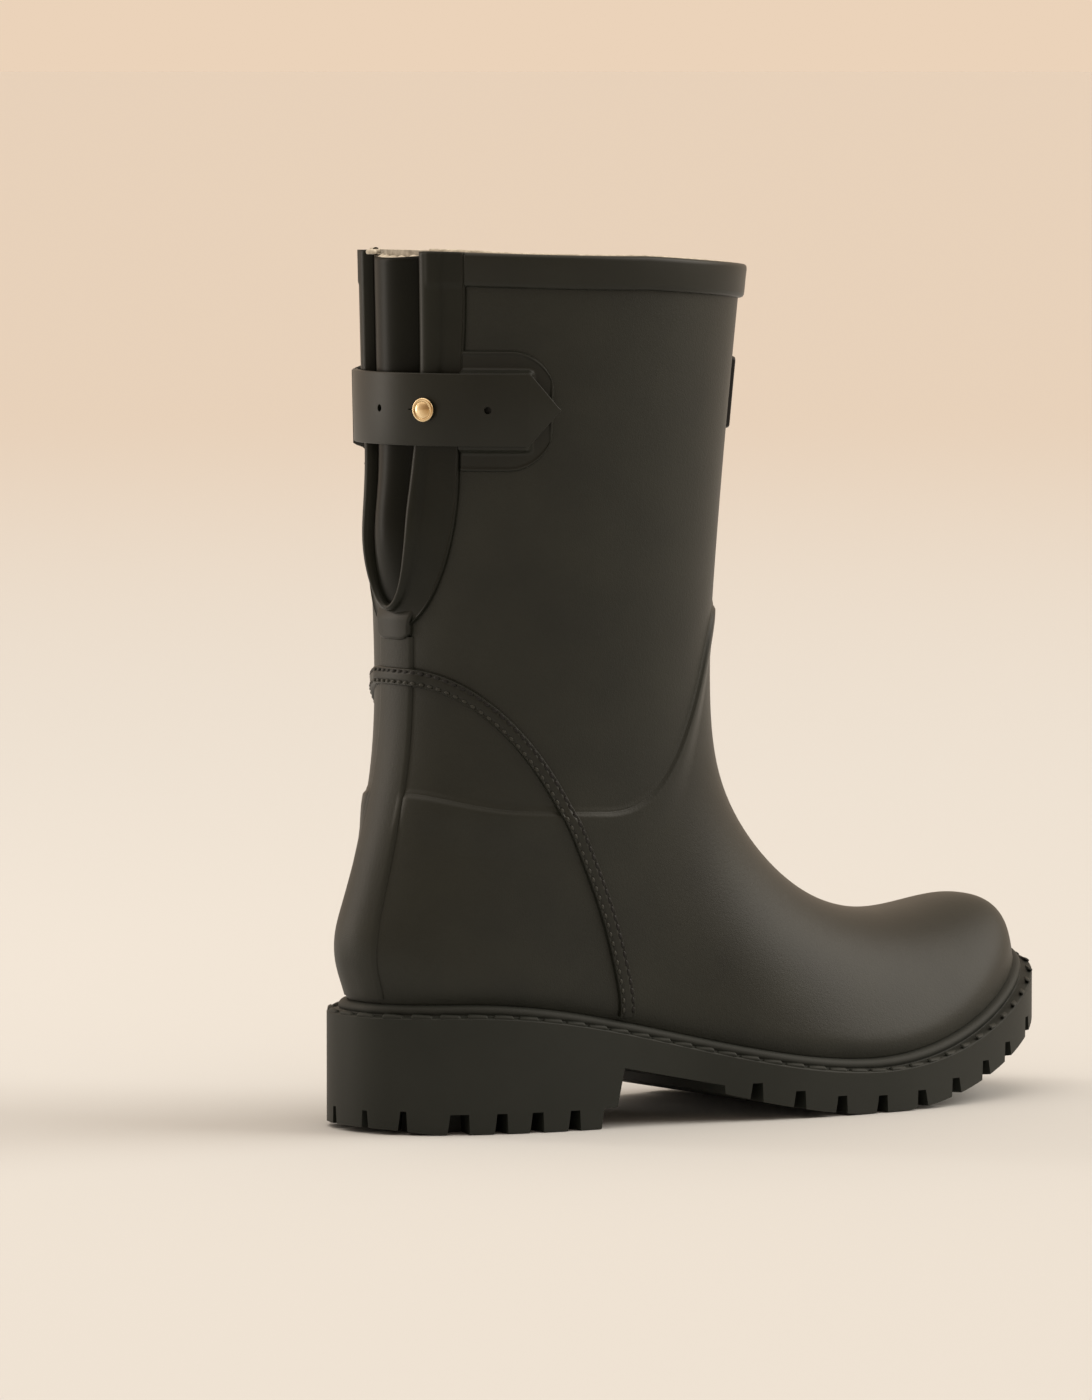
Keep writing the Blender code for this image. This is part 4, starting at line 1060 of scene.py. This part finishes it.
def stud_tab_piece():
    """The rubber tab under the strap that carries the stud."""
    past = 38.5 * np.linspace(0.0, 1.0, 60)[None, :]
    girth = STUD_TAB_REAR + past
    share = edge_spaced(31)[:, None]
    half = np.minimum(11.0, np.sqrt(past * 14.0) + 0.05)
    lift = 2.0 + 0.9 * smooth(31.0, 24.0, girth)
    z = STRAP_HEIGHT - share * half
    edge = rounded_edge(share, 22.0, 0.7) * quarter_round(past / 0.7)
    upper = grid_mesh("stud_tab_moulding", around(girth, z, lift + 0.2 + 1.1 * edge))
    lower = grid_mesh("stud_tab_under", around(girth, z, lift + 0.1), flip=True)
    thing = join([upper, lower], "stud_tab_moulding")
    edit_mesh(thing, weld=0.12, outwards=False)
    return finish_piece(thing, TRIM_RUBBER, ["stud_tab"])


# ---- the sole

SOLE_OVERHANG = 6.75
SOLE_END = 141.95


def seat_frame(theta):
    """Points of the seat line, its tangents and its outward normals in plan."""
    along = unit(skin(theta + 0.004, 1.0) - skin(theta - 0.004, 1.0))
    out = unit(stack(along[:, 1], -along[:, 0], 0.0))
    return skin(theta, 1.0), along, out


def sole_edge(offset):
    """Both halves of the seat line moved outwards by offset, as x-sorted (x, y, seat z) rows."""
    angles = np.radians(np.linspace(0.4, 179.6, 361))
    sides = []
    for side in (-1.0, 1.0):
        here, _, out = seat_frame(side * angles)
        row = here + offset * out
        sides.append(row[np.argsort(row[:, 0])])
    return sides


SOLE_EDGES = sole_edge(SOLE_OVERHANG)


def ring_frame(count):
    """seat_frame at count places, evenly spaced all round the sole."""
    even = np.linspace(-math.pi, math.pi, 2001)
    lengths = run_lengths(skin(even, 1.0))
    places = np.linspace(0.0, lengths[-1], count, endpoint=False)
    return seat_frame(np.interp(places, lengths, even))


def welt_piece():
    """The moulded bead under the upper and the ledge that carries the stitch ribs."""
    here, _, out = ring_frame(560)
    turns = np.radians(np.linspace(12, 118, 12))
    profile = [(-2.6, 0.4), (-1.2, 0.2), (-0.1, -0.15)]
    profile += [(0.35 + 2.35 * math.sin(turn), -2.45 + 2.3 * math.cos(turn)) for turn in turns]
    profile += [(2.75, -3.75), (3.3, -3.85), (4.6, -3.9), (5.6, -3.95), (6.15, -4.05)]
    profile += [(6.55, -4.3), (SOLE_OVERHANG, -4.75)]
    rows = [here + out * offset + np.array([0.0, 0.0, lift]) for offset, lift in profile]
    thing = grid_mesh("welt_moulding", np.array(rows), closed=True)
    return finish_piece(thing, SOLE_RUBBER, ["welt"])


def rib():
    """Points and faces of one rib of the welt, higher at its rear end."""
    length, width, height = 7.2, 1.8, 0.8
    section = ((-0.5, -0.4), (-0.5, 0.55), (-0.32, 0.92), (0.0, 1.0), (0.32, 0.92), (0.5, 0.55), (0.5, -0.4))
    steps = ((-0.5, 0.15), (-0.47, 0.75), (-0.40, 1.0), (0.0, 0.92), (0.36, 0.72), (0.45, 0.55), (0.5, 0.1))
    place, rise = np.array(steps).T[..., None]
    offset, lift = np.array(section).T
    points = stack(place * length, offset * width * (0.7 + 0.3 * rise), lift * height * rise)
    points = points.reshape(-1, 3)
    columns = len(section)
    faces = [face[::-1] for face in grid_faces(len(steps), columns, False)]
    faces += [tuple(range(columns)), tuple(range(len(points) - columns, len(points)))[::-1]]
    return points, faces


def welt_ribs():
    """The raised ribs that look like long stitches."""
    here, along, out = ring_frame(75)
    bases = here + out * 5.45 + np.array([0.0, 0.0, -4.05])
    ups = unit(np.array([0.0, 0.0, 1.0]) + out * 0.55)
    ups = ups * (1.55 - 0.75 * smooth(-20.0, 110.0, bases[:, :1]))
    thing = scatter("welt_ribs", rib(), bases, along, ups, SOLE_RUBBER)
    thing.data.set_sharp_from_angle(angle=math.radians(48.0))
    return thing


def tread_height(x):
    rear = 1.8 * smooth(-122.0, -142.0, x)
    front = 8.4 * (np.maximum(36.0 - x, 0.0) / 51.0) ** 1.5
    toe = 28.5 * (np.maximum(x - 50.0, 0.0) / 89.0) ** 1.75
    return np.where(x < HEEL_BREAST + 4.0, rear, front + toe)


BREAST_STEPS = (-4.5, -3.4, 1.9, 4.6)
BREAST_HEIGHTS = (0.0, 6.7, 7.2, 20.3)


def sole_underside(x):
    """The tread surface, with the stepped heel breast and the arch between heel and forefoot."""
    arch = np.interp(x, [HEEL_BREAST + 4.5, ARCH_FRONT], [BREAST_HEIGHTS[-1], 12.6])
    breast = np.interp(x - HEEL_BREAST, BREAST_STEPS, BREAST_HEIGHTS)
    in_arch = (x > HEEL_BREAST + 4.5) & (x < ARCH_FRONT)
    in_breast = (x > HEEL_BREAST - 4.6) & (x <= HEEL_BREAST + 4.5)
    return np.where(in_arch, arch, np.where(in_breast, breast, tread_height(x)))


def sole_stations():
    """The x of each section of the sole: close at both ends, with the breaks of its underside."""
    ends = SOLE_END - 14.0 * (1.0 - np.cos(np.linspace(0.0, math.pi / 2.0, 26)))
    breaks = [HEEL_BREAST + step for step in BREAST_STEPS] + [ARCH_FRONT - 0.1, ARCH_FRONT + 0.1]
    middle = np.arange(-127.0, 127.6, 1.5)
    middle = middle[np.abs(middle - HEEL_BREAST) > 5.0]
    middle = [x for x in middle if min(abs(x - value) for value in breaks) > 1.0]
    return np.unique(np.round(np.concatenate([-ends, ends, middle, breaks]), 3))


def outsole_blank():
    """The sole's body before its lugs are cut: vertical sides between a top and a tread surface."""
    x = sole_stations()
    lateral, medial = [np.interp(x, edge[:, 0], edge[:, 1]) for edge in SOLE_EDGES]
    seats = [np.interp(x, edge[:, 0], edge[:, 2]) for edge in SOLE_EDGES]
    top = np.minimum(*seats) - 4.55
    bottom = np.minimum(sole_underside(x), top - 6.0)
    corners = ((lateral, top), (medial, top), (medial, bottom), (lateral, bottom))
    count = len(x)
    faces = []
    for ring in range(4):
        here, after = ring * count, (ring + 1) % 4 * count
        faces += [(here + i, after + i, after + i + 1, here + i + 1) for i in range(count - 1)]
    faces.append(tuple(ring * count for ring in (3, 2, 1, 0)))
    faces.append(tuple(ring * count + count - 1 for ring in range(4)))
    points = np.concatenate([stack(x, y, z) for y, z in corners])
    thing = raw_mesh("outsole_moulding", points, faces)
    edit_mesh(thing)
    return thing


HEEL_NOTCHES = ((-133.5, 3.2), (-118.0, 7.8), (-104.2, 4.8), (-91.7, 5.2), (-77.7, 4.8))
FRONT_NOTCHES = (-8.6, 7.8, 24.9, 42.4, 60.1, 77.2, 93.9, 108.0, 124.0)
REAR_NOTCH = -141.9
NOTCH_DEPTH = 6.8


def wedge(x, y, turn, side, width, reach, depth, lean):
    """A notch cutter at (x, y) of the sole's edge: one upright wall, one leaning by lean millimetres."""
    tread = float(tread_height(x))
    low, high = tread - 4.0, tread + depth
    foot = width / 2.0
    profile = [(-foot - max(lean, 0.0), low), (foot + max(-lean, 0.0), low)]
    profile += [(foot - 0.5, high), (-foot + 0.5, high)]
    points = []
    for out, narrowing in ((5.0, 1.0), (-reach, 0.82)):
        for along, z in profile:
            local = Vector((along * narrowing, side * out, 0.0))
            local.rotate(Matrix.Rotation(turn, 3, "Z"))
            points.append((x + local.x, y + local.y, z))
    faces = [(0, 1, 2, 3), (7, 6, 5, 4), (0, 4, 5, 1), (1, 5, 6, 2), (2, 6, 7, 3), (3, 7, 4, 0)]
    thing = raw_mesh("notch", points, faces)
    edit_mesh(thing)
    return thing


def side_wedge(x, side, width, reach, depth, lean):
    """A wedge square to the sole's edge; side is -1 lateral, 1 medial."""
    edge = SOLE_EDGES[0 if side < 0 else 1]
    before, y, after = np.interp([x - 1.5, x, x + 1.5], edge[:, 0], edge[:, 1])
    turn = 0.8 * math.atan((after - before) / 3.0)
    return wedge(x, float(y), turn, side, width, reach, depth, lean)


def groove(x, y, length, width, depth, turn):
    """A shallow straight channel in the tread."""
    bpy.ops.mesh.primitive_cube_add(size=1.0)
    box = bpy.context.active_object
    slope = float(tread_height(x + 3.0) - tread_height(x - 3.0)) / 6.0
    box.scale = (width * MM, length * MM, 2.0 * depth * MM)
    box.rotation_euler = (0.0, -math.atan(slope), turn)
    box.location = (x * MM, y * MM, float(tread_height(x)) * MM)
    return box


def tread_cutters():
    """The notches along the sole's edge and the grooves across its tread."""
    cutters = []
    for y in (-10.5, 7.0):
        cutters.append(wedge(REAR_NOTCH, y, math.radians(90.0), 1.0, 3.2, 8.0, NOTCH_DEPTH - 1.0, 0.8))
    for side in (-1.0, 1.0):
        for x, width in HEEL_NOTCHES:
            cutters.append(side_wedge(x, side, width, 11.0, NOTCH_DEPTH, 1.2))
        for x in FRONT_NOTCHES:
            lean = 1.5 if x < 55.0 else -1.7
            cutters.append(side_wedge(x, side, 4.9, 13.0, NOTCH_DEPTH - 0.8, lean))
    for x in FRONT_NOTCHES[1:]:
        for side in (-1.0, 1.0):
            cutters.append(groove(x - 3.0, side * 19.0 + 3.0, 24.0, 3.0, 3.2, side * 0.38))
    for x in (-116.0, -102.0, -89.5, -75.5):
        cutters.append(groove(x, 0.0, 34.0, 3.2, 3.2, 0.0))
    return cutters


def outsole_piece():
    """The sole with its notches and grooves cut and its edges eased."""
    thing = outsole_blank()
    subtract(thing, tread_cutters())
    bevel = thing.modifiers.new("edges", "BEVEL")
    bevel.width = 0.35 * MM
    bevel.segments = 2
    bevel.limit_method = "ANGLE"
    bevel.angle_limit = math.radians(38.0)
    apply_modifiers(thing)
    thing.data.set_sharp_from_angle(angle=math.radians(32.0))
    level = thing.modifiers.new("normals", "WEIGHTED_NORMAL")
    level.keep_sharp = True
    apply_modifiers(thing)
    thing.data.materials.clear()
    return finish_piece(thing, SOLE_RUBBER, ["outsole"])


def footbed_piece():
    """The loose footbed, knit on top, dished under the heel and along its edges."""
    sides = sole_edge(-6.6)
    start = max(side[0, 0] for side in sides) + 0.3
    stop = min(side[-1, 0] for side in sides) - 0.3
    x = 0.5 * (start + stop) - 0.5 * (stop - start) * np.cos(np.linspace(0.0, math.pi, 120))
    lateral, medial = [np.interp(x, side[:, 0], side[:, 1]) for side in sides]
    share = np.linspace(0.0, 1.0, 41)[:, None]
    dish = 1.6 * (2.0 * share - 1.0) ** 4
    z = seat_height(x) + FOOTBED_RISE - 1.0 + dish
    grid = stack(x, lateral + (medial - lateral) * share, z)
    thing = grid_mesh("footbed_cover", grid, flip=True)
    return finish_piece(thing, LINING_KNIT, ["footbed"])


# ---- build everything

leg_upper()
foot_upper()
lining_upper()
rim_band_piece()
gusset_piece()
gusset_knit()
knit_curl("gusset_knit_curl_a", -17.0, -2.6, 1.9)
knit_curl("gusset_knit_curl_b", -11.0, 0.6, 1.4)
binding_piece()
tab_piece()
backstay_piece()
trim_piece()
# The front stitches are dark with painted shade.
trim_stitches("trim_stitches_front", 0.58, (2.5, 1.45, 0.62), 3.3, 0.05, STITCH_HOLE_PAINTED_SHADE)
# The rear stitches are light with a painted highlight.
trim_stitches("trim_stitches_rear", -0.58, (2.2, 1.25, 0.70), 3.4, 0.0, STITCH_PAINTED_HIGHLIGHT)
patch_piece("lateral_patch_moulding", 1.0, 3.2, "lateral_patch")
patch_piece("medial_patch_moulding", -1.0, 3.9, "medial_patch")
badge_piece()
stud_tab_piece()
stud_piece()
strap_piece("strap_part_a", -52.0, -18.0, HINGES[0], ["strap_root", "strap_rear"])
strap_piece("strap_part_b", -18.0, 12.0, HINGES[1], ["strap_middle"])
strap_piece("strap_part_c", 12.0, STRAP_TIP, HINGES[2], ["strap_end"])
welt_piece()
welt_ribs()
outsole_piece()
footbed_piece()


# ---- stage and camera

FLOOR_FAR = (0.622, 0.572, 0.520)
FLOOR_PAINTED_LIGHT = (0.655, 0.668, 0.672)


def floor():
    """A plain seamless floor with a painted pool of light: a little lighter round the boot than far away."""
    bpy.ops.mesh.primitive_plane_add(size=900.0, location=(0.0, 0.0, FLOOR_Z - 0.0002))
    thing = bpy.context.active_object
    thing.name = "studio_floor"
    material, tree, shader = new_material("studio_floor", FLOOR_FAR, 0.9)
    shader.inputs["Specular IOR Level"].default_value = 0.0
    place = add_node(tree, "ShaderNodeTexCoord")
    length = add_node(tree, "ShaderNodeVectorMath", operation="LENGTH")
    reach = add_node(tree, "ShaderNodeMapRange")
    reach.inputs["From Max"].default_value = 7.0
    # The lighter colour round the boot is a painted pool of light.
    ramp = color_ramp(tree, (0.18, FLOOR_PAINTED_LIGHT), (1.0, FLOOR_FAR))
    ramp.color_ramp.interpolation = "EASE"
    link(tree, place, "Object", length, "Vector")
    link(tree, length, "Value", reach, "Value")
    link(tree, reach, "Result", ramp, "Fac")
    link(tree, ramp, "Color", shader, "Base Color")
    thing.data.materials.append(material)


def light(name, kind, energy, color, offset, size):
    """A lamp at an offset from AIM, turned to it. size is a sun's angle or a panel's two sides."""
    data = bpy.data.lights.new(name, kind)
    data.energy = energy
    data.color = color
    if kind == "SUN":
        data.angle = size
    else:
        data.shape = "RECTANGLE"
        data.size, data.size_y = size
    thing = bpy.data.objects.new(name, data)
    bpy.context.scene.collection.objects.link(thing)
    thing.location = AIM + offset
    thing.rotation_euler = (-offset).to_track_quat("-Z", "Y").to_euler()


def world(color, behind, ahead):
    """The studio's even surroundings: color towards ahead, behind on the opposite side."""
    scene_world = bpy.data.worlds.new("studio_world")
    scene_world.use_nodes = True
    tree = scene_world.node_tree
    place = add_node(tree, "ShaderNodeTexCoord")
    along = add_node(tree, "ShaderNodeVectorMath", operation="DOT_PRODUCT")
    along.inputs[1].default_value = ahead
    reach = add_node(tree, "ShaderNodeMapRange")
    reach.inputs["From Min"].default_value = -1.0
    ramp = color_ramp(tree, (0.0, behind), (0.75, color))
    link(tree, place, "Generated", along, 0)
    link(tree, along, "Value", reach, "Value")
    link(tree, reach, "Result", ramp, "Fac")
    link(tree, ramp, "Color", tree.nodes["Background"], "Color")
    bpy.context.scene.world = scene_world


CAMERA_AZIMUTH = math.radians(-34.0)
CAMERA_PITCH = math.radians(3.688)
CAMERA_HEIGHT = 360.0
CAMERA_DISTANCE = 3400.0
CAMERA_SIDE = -49.5
CAMERA_LENS_MM = 253.5


def camera():
    """The main view: a long lens, turned from the boot's side and tipped slightly down."""
    right = Vector((math.cos(CAMERA_AZIMUTH), math.sin(CAMERA_AZIMUTH), 0.0))
    ahead = Vector((-math.sin(CAMERA_AZIMUTH), math.cos(CAMERA_AZIMUTH), 0.0))
    forward = ahead * math.cos(CAMERA_PITCH) - UP * math.sin(CAMERA_PITCH)
    data = bpy.data.cameras.new("camera")
    data.lens = CAMERA_LENS_MM
    data.sensor_width = 36.0
    data.sensor_fit = "AUTO"
    data.clip_start = 0.1
    data.clip_end = 500.0
    thing = bpy.data.objects.new("camera", data)
    bpy.context.scene.collection.objects.link(thing)
    thing.location = (right * CAMERA_SIDE - ahead * CAMERA_DISTANCE + UP * CAMERA_HEIGHT) * MM
    thing.rotation_euler = forward.to_track_quat("-Z", "Y").to_euler()
    bpy.context.scene.camera = thing
    return right, ahead


UP = Vector((0.0, 0.0, 1.0))
AIM = Vector((0.0, 0.0, 0.14))

floor()
VIEW_RIGHT, VIEW_AHEAD = camera()
SUN_FROM = UP - VIEW_RIGHT * 0.22 - VIEW_AHEAD * 0.12
SIDE_FROM = VIEW_RIGHT * 0.80 + UP * 0.55 + VIEW_AHEAD * 0.10
STRIP_FROM = VIEW_AHEAD * 0.5 - VIEW_RIGHT * 1.5 + UP * 0.25
light("key_sun", "SUN", 0.92, (1.0, 0.96, 0.90), SUN_FROM * 3.0, math.radians(75.0))
light("side_sun", "SUN", 1.75, (1.0, 0.95, 0.87), SIDE_FROM * 3.0, math.radians(50.0))
light("strip_left", "AREA", 6.0, (1.0, 0.93, 0.84), STRIP_FROM, (0.25, 1.6))
world((0.83, 0.65, 0.49), (0.46, 0.37, 0.29), VIEW_AHEAD)
bpy.context.scene.view_settings.view_transform = "Standard"
